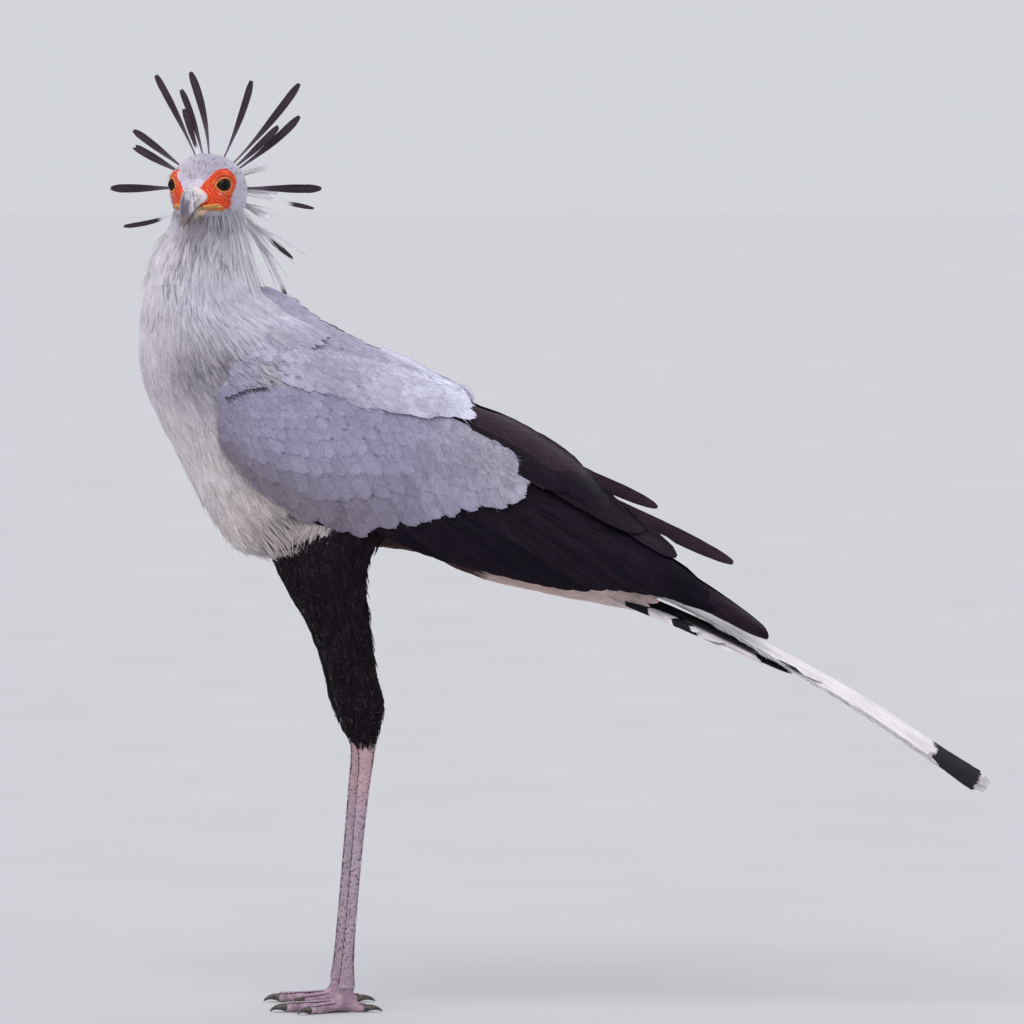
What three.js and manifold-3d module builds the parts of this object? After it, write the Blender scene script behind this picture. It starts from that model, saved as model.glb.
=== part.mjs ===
import * as THREE from 'three';
import { mergeVertices } from 'three/addons/utils/BufferGeometryUtils.js';
import Module from 'manifold-3d';

// A secretary bird standing still, at life size, in millimetres.
// The body faces -X with its left side towards -Y, +Z is up, and the soles stand on z = 0.
// The origin is the middle of the footprint of the whole bird.

const wasm = await Module();
wasm.setup();

const UP = new THREE.Vector3(0, 0, 1);
const SIDES = [[-1, 'left'], [1, 'right']];
const radians = THREE.MathUtils.degToRad;

// Clearances
const GAP = 0.3;
const GROWTH = 0.5;
const WELD = 0.001;

// Body: each station is a slanted cut from the front of the bird to its back, with a half width
const NECK = [
  { front: [-410, 908], back: [-352, 908], half: 24 },
  { front: [-421, 883], back: [-338, 883], half: 36 },
  { front: [-438, 855], back: [-335, 860], half: 41 },
  { front: [-449, 827], back: [-331, 831], half: 46 },
  { front: [-454, 797], back: [-322, 804], half: 52 },
  { front: [-458, 771], back: [-306, 788], half: 58 },
];
const TORSO = [
  { front: [-459, 737], back: [-274, 775], half: 66 },
  { front: [-453, 701], back: [-240, 760], half: 69 },
  { front: [-436, 663], back: [-210, 747], half: 70 },
  { front: [-417, 627], back: [-181, 736], half: 70 },
  { front: [-399, 589], back: [-153, 724], half: 70 },
  { front: [-376, 552], back: [-127, 710], half: 69 },
  { front: [-347, 516], back: [-102, 697], half: 67 },
  { front: [-291, 512], back: [-78, 680], half: 64 },
  { front: [-235, 520], back: [-55, 661], half: 59 },
  { front: [-184, 521], back: [-35, 641], half: 55 },
  { front: [-139, 514], back: [-14, 618], half: 49 },
  { front: [-98, 494], back: [12, 588], half: 43 },
];
const TAIL_ROOT = [
  { front: [-50, 478], back: [45, 554], half: 39 },
  { front: [10, 466], back: [72, 520], half: 35 },
  { front: [62, 456], back: [98, 488], half: 30 },
  { front: [98, 450], back: [116, 469], half: 24 },
];
const BODY = [...NECK, ...TORSO, ...TAIL_ROOT];
const NECK_END = NECK.length - 1;
const TORSO_END = NECK_END + TORSO.length;
const BODY_SIDES = 16;
const STEPS = { neck: 9, torso: 18, tail: 6 };

// Hackles: rows of locks round the neck, from one station to another, each row of so many locks
const HACKLES = { first: 1.2, last: 4.4, rows: 5, each: 9, hang: 1.45, width: 23, thick: 3.2 };
const HACKLE_LIFT = { root: -2.2, middle: 3.2, tip: 6 };
const HACKLE_SWAY = 0.07;

// Folded wing, seen from the side: its lower and upper edges from the wrist to the tip
const WING_LOWER = [
  [-377, 660], [-368, 628], [-349, 606], [-316, 584], [-255, 551], [-203, 534], [-167, 535],
  [-122, 517], [-78, 502], [23, 477], [79, 475], [136, 467], [174, 455], [223, 428], [245, 419],
];
const WING_UPPER = [
  [-377, 690], [-368, 718], [-350, 741], [-324, 749], [-279, 745], [-217, 730], [-145, 710],
  [-94, 691], [-58, 671], [-18, 645], [35, 604], [90, 546], [138, 517], [197, 466], [245, 426],
];
// Half width of the bird across both wings, along the wing
const WING_SPREAD = [
  [-377, 70], [-355, 82], [-300, 91], [-150, 92], [-60, 88], [23, 74], [100, 56], [174, 38], [245, 22],
];
const WING_CORE = { from: -376, to: 62, steps: 10, rows: 5, rim: 2, inside: 4, round: 1.5 };
const WING_DEPTH = [[-376, 6], [-340, 16], [-180, 16], [-60, 8], [62, 5]];
const WING_INSET = [[-376, 0], [-300, 2], [-150, 5], [62, 12]];
// Half width of the wing's upper edge, where it turns in over the back
const WING_RIDGE = [[-377, 64], [-350, 56], [-280, 46], [-200, 32], [-110, 20], [0, 15], [245, 9]];
const WING_FOLD = { bulge: 0.3, tuck: 0.14, past: 0.8, least: 6 };

// Wing feathers in rows: the tips lie along a bent line, and the feathers turn from the first lie
// to the last, in degrees below level
const COVERT_ROWS = [
  {
    count: 5, tips: [[-280, 587], [-170, 586], [-158, 664]],
    lie: [30, 32], length: 62, width: 42, lift: 2.8,
  },
  {
    count: 5, tips: [[-262, 560], [-92, 545], [-88, 634]],
    lie: [22, 32], length: 74, width: 46, lift: 2.6,
  },
  {
    count: 5, tips: [[-200, 541], [-18, 528], [-30, 604]],
    lie: [16, 33], length: 84, width: 46, lift: 2.6,
  },
  {
    count: 3, tips: [[-238, 664], [-212, 684], [-192, 702]],
    lie: [26, 24], length: 80, width: 40, lift: 3.2,
  },
  {
    count: 3, tips: [[-132, 638], [-108, 654], [-91, 671]],
    lie: [31, 29], length: 96, width: 32, lift: 3.2,
  },
];
const SECONDARIES = {
  count: 8, tips: [-112, 172], lie: [21, 33], length: [140, 190], width: 34, lift: 1,
};
const PRIMARIES = [
  { tip: [226, 431], lie: 33, length: 196, width: 24, lift: -1 },
  { tip: [245, 419], lie: 32, length: 226, width: 21, lift: 1.4 },
];
const TERTIALS = [
  { tip: [146, 507], lie: 36, length: 210, width: 32, lift: 1.2 },
  { tip: [206, 501], lie: 26, length: 262, width: 22, lift: 1.5 },
  { tip: [121, 563.5], lie: 24.5, length: 170, width: 15, lift: 2.5 },
  { tip: [38, 595.5], lie: 33, length: 150, width: 27, lift: 3 },
];
const VANE = {
  thick: 1.7, tilt: 1.8, sink: 2.6, long: [0, 0.34, 0.66, 0.9], short: [0, 0.45, 0.84],
};

// Legs: the near one is the left, and the far one stands a little further forward
const LEG_Y = 48;
const FAR_LEG_AHEAD = 10;
const THIGH = [
  { front: [-279, 566], back: [-158, 566], half: 26 },
  { front: [-303, 513], back: [-201, 513], half: 35 },
  { front: [-285, 468], back: [-206, 473], half: 35 },
  { front: [-261, 426], back: [-201, 426], half: 30 },
  { front: [-246, 383], back: [-195, 383], half: 26 },
  { front: [-238, 347], back: [-185, 343], half: 24 },
  { front: [-227, 316], back: [-190, 318], half: 17 },
  { front: [-215, 298], back: [-195, 300], half: 12 },
];
const TARSUS = [
  { front: [-215, 298], back: [-195, 300], half: 11 },
  { front: [-214, 280], back: [-197, 281], half: 9.5 },
  { front: [-216.5, 248], back: [-202, 248], half: 7 },
  { front: [-222.5, 176], back: [-210, 176], half: 6.2 },
  { front: [-229.5, 95], back: [-217, 95], half: 6.2 },
  { front: [-234, 50], back: [-219, 50], half: 7.5 },
  { front: [-239, 26], back: [-217, 26], half: 10 },
];
const LEG = { thighSteps: 10, thighSides: 12, tarsusSteps: 9, tarsusSides: 10 };

// Foot: toes spread from a low palm, and each toe ends in a claw
const FOOT_X = -229;
const PALM = { radius: 12, height: 13, stretch: 1.15 };
const TOES = [
  { name: '1', turn: 176, length: 25, thick: 6, claw: 17 },
  { name: '2', turn: -30, length: 46, thick: 6, claw: 15 },
  { name: '3', turn: 2, length: 68, thick: 6.8, claw: 16 },
  { name: '4', turn: 32, length: 48, thick: 6, claw: 14 },
];
const SOLE_CUT = 1.2;
const CLAW = { buried: 3, start: 0.62, end: 0.6, arch: 3, tipHeight: 1.2 };

// Head, in its own frame: ahead of, left of and above the point between the ears
const HEAD_AT = new THREE.Vector3(-382.7, -12, 924.6);
const HEAD_TURN = radians(21);
const HEAD_AHEAD = new THREE.Vector3(-Math.sin(HEAD_TURN), -Math.cos(HEAD_TURN), 0);
const HEAD_LEFT = new THREE.Vector3(Math.cos(HEAD_TURN), -Math.sin(HEAD_TURN), 0);
const SKULL = [
  { ahead: -49, half: 12, top: 6, low: -10 },
  { ahead: -45, half: 22, top: 16, low: -24 },
  { ahead: -36, half: 33, top: 26, low: -36 },
  { ahead: -21, half: 42, top: 33.5, low: -42 },
  { ahead: -4, half: 44, top: 36, low: -42 },
  { ahead: 10, half: 40.5, top: 34.5, low: -40 },
  { ahead: 20, half: 36.5, top: 29.5, low: -36 },
  { ahead: 29, half: 30, top: 20, low: -31 },
  { ahead: 36, half: 22, top: 8, low: -27 },
];
const HEAD_SIDES = 16;
const CHEEK = 0.62;
const EYE = { ahead: 22.5, left: 26.5, above: 0, radius: 10, facing: 45 };
const LID = { reach: 7.6, ring: 8.6, tube: 1.7 };
const BROW = { points: [[35, 19, 3], [27, 29, 13.5], [12, 38.5, 13], [5, 41.5, 6]], radius: 2.6 };
const GAPE = { points: [[42, 15, -25], [30, 26, -24.5], [13, 38.5, -25]], radius: 1.1 };

// Bill: the ridge and the cutting edge of the upper half, in the head's frame
const UPPER_BILL = [
  { ahead: 36, top: 1, low: -22, half: 18 },
  { ahead: 44, top: 0.6, low: -25, half: 14.5 },
  { ahead: 52, top: -1.4, low: -30, half: 11 },
  { ahead: 58.5, top: -4.5, low: -36, half: 8 },
  { ahead: 63.5, top: -11, low: -42, half: 5.4 },
  { ahead: 66, top: -22, low: -46, half: 3.2 },
];
const HOOK = { ahead: 67, above: -48.7, sharp: 0.9 };
const LOWER_BILL = [
  { ahead: 36, top: -22.5, low: -33, half: 16 },
  { ahead: 44, top: -25.5, low: -37, half: 12.5 },
  { ahead: 52, top: -30.5, low: -41, half: 8.5 },
  { ahead: 57, top: -36, low: -43.5, half: 5 },
];
const BILL_SIDES = 12;
const NOSTRIL = { ahead: 45, left: 13.4, above: -13, long: 3.4, high: 1.4, deep: 2.4 };

// Crest: each feather leaves the skull at one turn from straight up and ends at another, both seen
// from the left of the bird, and some stand further behind
const CREST_AT = new THREE.Vector3(-382.5, 14, 921.8);
const CREST_LEAN = 0.3;
const CREST_DROOP = 0.5;
const CREST_DROP_FAR = 60;
const CREST_ROOT = 18;
const CREST_THICK = 1.8;
const CREST_BEND = 4;
const CREST = [
  { from: -134, turn: -114.5, reach: 104, width: 7.5 }, { from: -91, turn: -91, reach: 113, width: 10 },
  { from: -63, turn: -62, reach: 95, width: 9 }, { from: -53, turn: -53.7, reach: 107.5, width: 8.5 },
  { from: -22, turn: -26, reach: 140, width: 8 }, { from: -17, turn: -18, reach: 92, width: 7 },
  { from: -9, turn: -16.3, reach: 114, width: 7.5 }, { from: 3, turn: -9.4, reach: 131, width: 9 },
  { from: 29, turn: 22, reach: 128.5, width: 8 }, { from: 47, turn: 41.3, reach: 154.5, width: 9 },
  { from: 54, turn: 49.3, reach: 104, width: 8 }, { from: 60, turn: 52.3, reach: 130, width: 9 },
  { from: 91, turn: 90.5, reach: 127, width: 10 }, { from: 101, turn: 101.2, reach: 121, width: 7.5 },
  { from: 130.6, turn: 130.6, reach: 124, width: 6.5 },
  { from: 132, turn: 146, reach: 157, width: 6.5, behind: 24 },
  { from: 70, turn: 70, reach: 74, width: 5 }, { from: 95.5, turn: 95.5, reach: 78, width: 6 },
  { from: 116, turn: 116, reach: 80, width: 5.5 },
];

// Tail: pairs of feathers from the outermost and lowest to the innermost, then the two long ones
const TAIL_PAIRS = [
  { tip: [150, 437], out: 37, width: 30 },
  { tip: [196, 415], out: 31, width: 32 },
  { tip: [240, 393], out: 25, width: 33 },
  { tip: [272, 377], out: 19, width: 34 },
  { tip: [306, 361], out: 13, width: 34 },
];
const TAIL_ROOT_AT = { x: 46, z: 478, out: 0.4 };
const TAIL_LAYER = 2.1;
const TAIL_THICK = 1.7;
const LONG_TAIL = [[48, 496], [150, 452], [250, 401], [350, 344], [430, 291], [470, 264], [494, 249]];
const LONG_TAIL_WIDTH = 40;
const LONG_TAIL_ROLL = 0.28;
const UNDERTAIL = { count: 3, root: [-20, 484], tip: [116, 458], sag: 14, spread: 16, width: 34 };

const COLOURS = {
  grey: { color: 0xb9b8c4, roughness: 0.9, metalness: 0 },
  black: { color: 0x17151c, roughness: 0.85, metalness: 0 },
  white: { color: 0xe9e4ea, roughness: 0.9, metalness: 0 },
  horn: { color: 0x8b8a90, roughness: 0.5, metalness: 0 },
  claw: { color: 0x2a2626, roughness: 0.45, metalness: 0 },
  leg: { color: 0xa58a92, roughness: 0.7, metalness: 0 },
  eye: { color: 0x1a0f0a, roughness: 0.08, metalness: 0 },
};

const vector = (x, y, z) => new THREE.Vector3(x, y, z);
const mix = ([first, last], t) => first + (last - first) * t;
const list = (count, make) => Array.from({ length: count }, (_, k) => make(k));

// A value read along a list of [place, value] pairs
function along(pairs, place) {
  const next = pairs.findIndex(([at]) => at >= place);
  if (next < 0) return pairs.at(-1)[1];
  if (next === 0) return pairs[0][1];
  const [[a, u], [b, v]] = [pairs[next - 1], pairs[next]];
  return u + ((v - u) * (place - a)) / (b - a);
}

function volumeOf(points, faces) {
  let volume = 0;
  for (let i = 0; i < faces.length; i += 3) {
    const [a, b, c] = [points[faces[i]], points[faces[i + 1]], points[faces[i + 2]]];
    volume += a.dot(b.clone().cross(c));
  }
  return volume;
}

// Turns points and faces into a geometry whose faces point outwards
function geometryOf(points, faces) {
  const geometry = new THREE.BufferGeometry();
  const numbers = points.flatMap((p) => [p.x, p.y, p.z]);
  geometry.setAttribute('position', new THREE.Float32BufferAttribute(numbers, 3));
  geometry.setIndex(volumeOf(points, faces) < 0 ? faces.toReversed() : faces);
  return geometry;
}

// Closes one end of a skin: a flat four-sided end takes two faces, and any other a fan
function capRing(points, start, count, flip) {
  const turn = (a, b, c) => (flip ? [c, b, a] : [a, b, c]);
  if (count === 4) return [...turn(start, start + 1, start + 3), ...turn(start + 1, start + 2, start + 3)];
  const middle = points.length;
  const ring = points.slice(start, start + count);
  points.push(ring.reduce((sum, p) => sum.add(p), vector(0, 0, 0)).divideScalar(count));
  return list(count, (k) => turn(middle, start + k, start + ((k + 1) % count))).flat();
}

// A closed skin over rings of equally many points, its diagonals mirrored so that both faces of a
// thin vane are split alike, and ended by a point where a tip is given
function skinRings(rings, tip = null) {
  const count = rings[0].length;
  const points = rings.flat();
  const faces = [];
  for (let i = 0; i < rings.length - 1; i += 1) {
    for (let k = 0; k < count; k += 1) {
      const next = (k + 1) % count;
      const [low, high] = [i * count, (i + 1) * count];
      const [a, b, c, d] = [low + k, low + next, high + next, high + k];
      faces.push(...(k < count / 2 ? [a, b, c, a, c, d] : [a, b, d, b, c, d]));
    }
  }
  faces.push(...capRing(points, 0, count, true));
  const last = (rings.length - 1) * count;
  if (tip) {
    points.push(tip);
    const end = points.length - 1;
    faces.push(...list(count, (k) => [last + k, last + ((k + 1) % count), end]).flat());
  } else {
    faces.push(...capRing(points, last, count, false));
  }
  return geometryOf(points, faces);
}

// Joins and cuts
function solidOf(geometry) {
  const bare = new THREE.BufferGeometry();
  bare.setAttribute('position', geometry.getAttribute('position').clone());
  if (geometry.index) bare.setIndex(geometry.index.clone());
  const merged = mergeVertices(bare, WELD);
  return new wasm.Manifold(new wasm.Mesh({
    numProp: 3,
    vertProperties: new Float32Array(merged.getAttribute('position').array),
    triVerts: new Uint32Array(merged.index.array),
  }));
}

const fuse = (geometries) => geometries.map(solidOf).reduce((whole, next) => whole.add(next));
const cut = (solid, tools) => tools.map(solidOf).reduce((rest, tool) => rest.subtract(tool), solid);

// The largest closed surface of a solid
function largest(solid) {
  return solid.decompose().reduce((best, next) => (next.volume() > best.volume() ? next : best));
}

function partOf(name, look, solid) {
  const mesh = largest(solid).getMesh();
  const geometry = new THREE.BufferGeometry();
  geometry.setAttribute('position', new THREE.BufferAttribute(new Float32Array(mesh.vertProperties), 3));
  geometry.setIndex(new THREE.BufferAttribute(new Uint32Array(mesh.triVerts), 1));
  geometry.computeVertexNormals();
  const part = new THREE.Mesh(geometry, new THREE.MeshStandardMaterial(COLOURS[look]));
  part.name = name;
  return part;
}

// A smooth run through stations that are slanted cuts, read at a station or between two
class Run {
  constructor(stations, middle = 0, shift = 0) {
    const line = (pick) => new THREE.CatmullRomCurve3(stations.map(pick), false, 'centripetal');
    this.last = stations.length - 1;
    this.front = line((s) => vector(s.front[0] + shift, middle, s.front[1]));
    this.back = line((s) => vector(s.back[0] + shift, middle, s.back[1]));
    this.half = line((s, i) => vector(i * 50, s.half, 0));
  }

  share(at) {
    return THREE.MathUtils.clamp(at / this.last, 0, 1);
  }

  // A point of the surface at a turn from the front over the left side, lifted off it
  point(at, turn, lift = 0) {
    const t = this.share(at);
    const [front, back] = [this.front.getPoint(t), this.back.getPoint(t)];
    const centre = front.clone().add(back).divideScalar(2);
    const reach = back.sub(front).divideScalar(2);
    reach.setLength(reach.length() + lift);
    const side = vector(0, -(this.half.getPoint(t).y + lift) * Math.sin(turn), 0);
    return centre.addScaledVector(reach, -Math.cos(turn)).add(side);
  }

  ring(at, sides, grow = 0) {
    return list(sides, (k) => this.point(at, (k / sides) * 2 * Math.PI, grow));
  }

  // The direction square to the cut at a station, back along the run
  normal(at) {
    const t = this.share(at);
    const reach = this.back.getPoint(t).sub(this.front.getPoint(t));
    return vector(reach.z, 0, -reach.x).normalize();
  }

  // A closed skin between two stations, its sides grown and its ends pushed outwards
  skin(from, to, steps, sides, { grow = 0, start = 0, end = 0 } = {}) {
    const rings = list(steps + 1, (i) => this.ring(mix([from, to], i / steps), sides, grow));
    rings[0].forEach((p) => p.addScaledVector(this.normal(from), -start));
    rings[steps].forEach((p) => p.addScaledVector(this.normal(to), end));
    return skinRings(rings);
  }
}

const body = new Run(BODY);
const grown = { grow: GROWTH, start: GAP, end: GAP };
const torsoSkin = (more) => body.skin(NECK_END, TORSO_END, STEPS.torso, BODY_SIDES, more);
const neckSkin = (more) => body.skin(0, NECK_END, STEPS.neck, BODY_SIDES, more);
const tailSkin = (more) => body.skin(TORSO_END, body.last, STEPS.tail, BODY_SIDES, more);

// A round tube along a curve, its facets turned so that one lies flat below
function tubeAlong(line, radius, steps, sides) {
  return skinRings(list(steps + 1, (i) => {
    const tangent = line.getTangent(i / steps);
    const side = UP.clone().cross(tangent).normalize();
    const up = tangent.clone().cross(side);
    return list(sides, (k) => {
      const turn = ((k + 0.5) / sides) * 2 * Math.PI;
      const spoke = side.clone().multiplyScalar(Math.cos(turn)).addScaledVector(up, Math.sin(turn));
      return line.getPoint(i / steps).addScaledVector(spoke, radius(i / steps));
    });
  }));
}

// A feather or lock: a thin vane along a curve with a ridge above, a keel below and a tip
function vane(line, across, { width, thick, shape, stops = VANE.long }) {
  const rings = stops.map((t) => {
    const at = line.getPoint(t);
    const tangent = line.getTangent(t);
    const side = across.clone().addScaledVector(tangent, -across.dot(tangent)).normalize();
    const out = tangent.clone().cross(side).normalize();
    const [half, deep] = [(width / 2) * shape(t), (thick / 2) * (1.1 - 0.5 * t)];
    const place = (toSide, toOut) => at.clone().addScaledVector(side, toSide).addScaledVector(out, toOut);
    return [place(half, 0), place(0, deep), place(-half, 0), place(0, -deep)];
  });
  return skinRings(rings, line.getPoint(1));
}

const paddle = (t) => 0.3 + 0.7 * Math.sin(Math.PI * 0.7 * t ** 1.6) ** 1.2;
const blade = (t) => 0.62 + 0.38 * Math.sin(Math.PI * (0.12 + 0.7 * t));
const lock = (t) => 1 - 0.55 * t ** 2;

// Head
function headPoint(ahead, left, above) {
  const at = HEAD_AT.clone().addScaledVector(HEAD_AHEAD, ahead);
  return at.addScaledVector(HEAD_LEFT, left).addScaledVector(UP, above);
}

function skull(grow = 0) {
  return skinRings(SKULL.map((s) => list(HEAD_SIDES, (k) => {
    const turn = (k / HEAD_SIDES) * 2 * Math.PI;
    const rise = (s.top - s.low) / 2 + grow;
    const full = Math.cos(turn) > 0 ? CHEEK : 1;
    const side = Math.sign(Math.sin(turn)) * Math.abs(Math.sin(turn)) ** full;
    return headPoint(s.ahead, -side * (s.half + grow), (s.top + s.low) / 2 - Math.cos(turn) * rise);
  })));
}

function eyeFacing(side) {
  const turn = radians(EYE.facing);
  const aside = HEAD_LEFT.clone().multiplyScalar(-side * Math.sin(turn));
  return aside.addScaledVector(HEAD_AHEAD, Math.cos(turn));
}

const eyeAt = (side) => headPoint(EYE.ahead, -side * EYE.left, EYE.above);

function eyeBall(side, grow = 0) {
  return new THREE.SphereGeometry(EYE.radius + grow, 10, 8).translate(...eyeAt(side).toArray());
}

function lid(side) {
  const ring = new THREE.TorusGeometry(LID.ring, LID.tube, 4, 12);
  ring.applyQuaternion(new THREE.Quaternion().setFromUnitVectors(UP, eyeFacing(side)));
  return ring.translate(...eyeAt(side).addScaledVector(eyeFacing(side), LID.reach).toArray());
}

// A raised or sunk line over the face, mirrored to the other side
function faceLine({ points, radius }, side, taper) {
  const places = points.map(([ahead, left, above]) => headPoint(ahead, -side * left, above));
  const line = new THREE.CatmullRomCurve3(places);
  return tubeAlong(line, (t) => radius * (1 - taper * Math.abs(2 * t - 1)), 4, 5);
}

// A ring across the bill, flat below and round above
function billRing({ ahead, top, low, half }, grow, flat) {
  return list(BILL_SIDES, (k) => {
    const turn = (k / BILL_SIDES) * 2 * Math.PI;
    const height = (Math.cos(turn) + 1) / 2;
    const side = Math.sin(turn) * (half + grow) * (flat ? 1.12 - 0.24 * height : 1);
    return headPoint(ahead, side, low - grow + (top - low + 2 * grow) * height);
  });
}

function upperBill(grow = 0) {
  const rings = UPPER_BILL.map((s) => billRing(s, grow, true));
  const hook = headPoint(HOOK.ahead, 0, HOOK.above);
  rings.push(rings.at(-1).map((p) => p.clone().lerp(hook, HOOK.sharp)));
  return skinRings(rings);
}

const lowerBill = (grow = 0) => skinRings(LOWER_BILL.map((s) => billRing(s, grow, false)));

function nostril(side) {
  const slit = new THREE.SphereGeometry(1, 6, 4).scale(NOSTRIL.deep, NOSTRIL.long, NOSTRIL.high);
  slit.rotateZ(-HEAD_TURN);
  return slit.translate(...headPoint(NOSTRIL.ahead, -side * NOSTRIL.left, NOSTRIL.above).toArray());
}

function crestFeather({ from, turn, reach, width, behind = 0 }, index, grow = 0) {
  const bend = CREST_BEND * Math.sin(index * 2.4);
  const point = (angle, far, more) => {
    const out = vector(Math.sin(radians(angle)), 0, Math.cos(radians(angle)));
    const droop = Math.max(0, -out.z) * CREST_DROOP * Math.min(far, CREST_DROP_FAR);
    const lean = CREST_LEAN * (far - CREST_ROOT) - out.x * far * Math.tan(HEAD_TURN);
    return CREST_AT.clone().addScaledVector(out, far).add(vector(0, behind + droop + lean + more, 0));
  };
  const root = point(from, CREST_ROOT, 0);
  const middle = point(mix([from, turn], 0.1), reach * 0.55, bend);
  const line = new THREE.QuadraticBezierCurve3(root, middle, point(turn, reach + grow, bend));
  const across = line.getTangent(0.5).cross(vector(0, 1, 0));
  const stops = [0, 0.42, 0.72, 0.93];
  const thick = CREST_THICK + 3 * grow;
  return vane(line, across, { width: width + 2 * grow, thick, shape: paddle, stops });
}

function headSolid() {
  const raised = SIDES.flatMap(([side]) => [lid(side), faceLine(BROW, side, 0.5)]);
  const whole = fuse([skull(), ...raised, ...CREST.map((c, i) => crestFeather(c, i))]);
  const sockets = SIDES.flatMap(([side]) => [eyeBall(side, GAP), faceLine(GAPE, side, 0)]);
  return cut(whole, [neckSkin(grown), ...sockets, upperBill(GAP), lowerBill(GAP)]);
}

// Neck
function hackle(row, k) {
  const at = mix([HACKLES.first, HACKLES.last], row / (HACKLES.rows - 1));
  const turn = ((k + (row % 2) / 2) / HACKLES.each) * 2 * Math.PI;
  const sway = HACKLE_SWAY * Math.sin(row * 5.1 + k * 2.3);
  const hang = HACKLES.hang * (1 + 0.18 * Math.sin(row * 3.7 + k * 1.9));
  const line = new THREE.QuadraticBezierCurve3(
    body.point(at, turn, HACKLE_LIFT.root),
    body.point(at + hang * 0.55, turn + sway, HACKLE_LIFT.middle),
    body.point(at + hang, turn + 1.6 * sway, HACKLE_LIFT.tip),
  );
  const across = body.point(at, turn + 0.05).sub(body.point(at, turn - 0.05));
  return vane(line, across, { width: HACKLES.width, thick: HACKLES.thick, shape: lock, stops: VANE.short });
}

function neckSolid() {
  const { rows, each } = HACKLES;
  const locks = fuse(list(rows * each, (n) => hackle(Math.floor(n / each), n % each)));
  const crest = CREST.map((feather, i) => crestFeather(feather, i, GAP));
  const clear = cut(locks, [skull(GROWTH), ...crest, torsoSkin(grown)]);
  return clear.add(solidOf(neckSkin({ end: -GAP })));
}

// Wing
// Half width of the folded wing at a place seen from the side: tucked in below, bulging, and
// turned in over the back
function wingY(x, z) {
  const [low, top] = [along(WING_LOWER, x), along(WING_UPPER, x)];
  const height = (z - low) / Math.max(1, top - low);
  const { bulge, tuck, past, least } = WING_FOLD;
  const up = THREE.MathUtils.clamp((height - bulge) / (1 - bulge), 0, 1);
  const down = THREE.MathUtils.clamp(1 - height / bulge, 0, 1.5);
  const [spread, edge] = [along(WING_SPREAD, x), along(WING_RIDGE, x)];
  const y = (edge + (spread - edge) * Math.sqrt(1 - up * up)) * (1 - tuck * down * down);
  return Math.max(least, y - past * Math.max(0, z - top));
}

function wingCore(side, grow = 0) {
  const { from, to, steps, rows, rim, inside, round } = WING_CORE;
  return skinRings(list(steps + 1, (i) => {
    const x = mix([from, to], (i / steps) ** round);
    const inset = along(WING_INSET, x) - grow;
    const [low, top] = [along(WING_LOWER, x) + inset, along(WING_UPPER, x) - inset];
    const outer = list(rows, (k) => {
      const z = mix([low, top], k / (rows - 1));
      return vector(x, side * (wingY(x, z) + grow), z);
    });
    const inner = outer.map((p, k) => {
      const deep = k === 0 || k === rows - 1 ? rim : along(WING_DEPTH, x);
      const y = Math.max(inside, side * p.y - deep - 2 * grow);
      return vector(x, side * y, p.z);
    });
    return [...outer, ...inner.reverse()];
  }));
}

// A feather laid on the wing's surface, its lower edge raised over the next one below
function wingFeather(side, { tip, lie, length, width, lift }, stops = VANE.long) {
  const angle = radians(lie);
  const [dx, dz] = [Math.cos(angle), -Math.sin(angle)];
  const place = (far, across, off) => {
    const x = tip[0] - dx * far - dz * across;
    const z = tip[1] - dz * far + dx * across;
    return vector(x, side * (wingY(x, z) + off), z);
  };
  const rings = stops.map((t) => {
    const far = length * (1 - t);
    const half = (width / 2) * blade(t);
    const off = mix([-VANE.sink, lift], Math.min(1, t * 1.6));
    const deep = (VANE.thick / 2) * (1.15 - 0.4 * t);
    return [
      place(far, -half, off + VANE.tilt), place(far, 0, off + deep),
      place(far, half, off - VANE.tilt), place(far, 0, off - deep),
    ];
  });
  return skinRings(rings, place(0, 0, lift));
}

function coverts(side, { count, tips, lie, length, width, lift }) {
  const line = new THREE.QuadraticBezierCurve3(...tips.map(([x, z]) => vector(x, 0, z)));
  return list(count, (k) => {
    const t = k / (count - 1);
    const { x, z } = line.getPoint(t);
    return wingFeather(side, { tip: [x, z], lie: mix(lie, t), length, width, lift }, VANE.short);
  });
}

function secondaries(side) {
  const { count, tips, lie, length, width, lift } = SECONDARIES;
  return list(count, (k) => {
    const t = k / (count - 1);
    const x = mix(tips, t);
    const tip = [x, along(WING_LOWER, x) + 2];
    return wingFeather(side, { tip, lie: mix(lie, t), length: mix(length, t), width, lift }, VANE.short);
  });
}

function wingSolid(side) {
  const flight = [...PRIMARIES, ...TERTIALS].map((feather) => wingFeather(side, feather));
  const rows = COVERT_ROWS.flatMap((row) => coverts(side, row));
  const whole = fuse([wingCore(side), ...secondaries(side), ...flight, ...rows]);
  return cut(whole, [torsoSkin(grown), tailSkin(grown)]);
}

// Legs
const legShift = (side) => (side > 0 ? -FAR_LEG_AHEAD : 0);

function thigh(side) {
  const run = new Run(THIGH, side * LEG_Y, legShift(side));
  return run.skin(0, run.last, LEG.thighSteps, LEG.thighSides, { end: -GAP });
}

function tarsus(side, grow = 0) {
  const run = new Run(TARSUS, side * LEG_Y, legShift(side));
  return run.skin(0, run.last, LEG.tarsusSteps, LEG.tarsusSides, { grow, end: grow });
}

function toeLine(side, toe) {
  const turn = radians(toe.turn);
  const out = vector(-Math.cos(turn), side * Math.sin(turn), 0);
  const low = toe.thick * Math.cos(Math.PI / 8) - SOLE_CUT;
  const start = vector(FOOT_X + legShift(side), side * LEG_Y, low + 4);
  const end = start.clone().addScaledVector(out, toe.length).setZ(low);
  const knuckle = start.clone().addScaledVector(out, toe.length * 0.4).setZ(low);
  return { line: new THREE.QuadraticBezierCurve3(start, knuckle, end), out, end };
}

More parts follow.
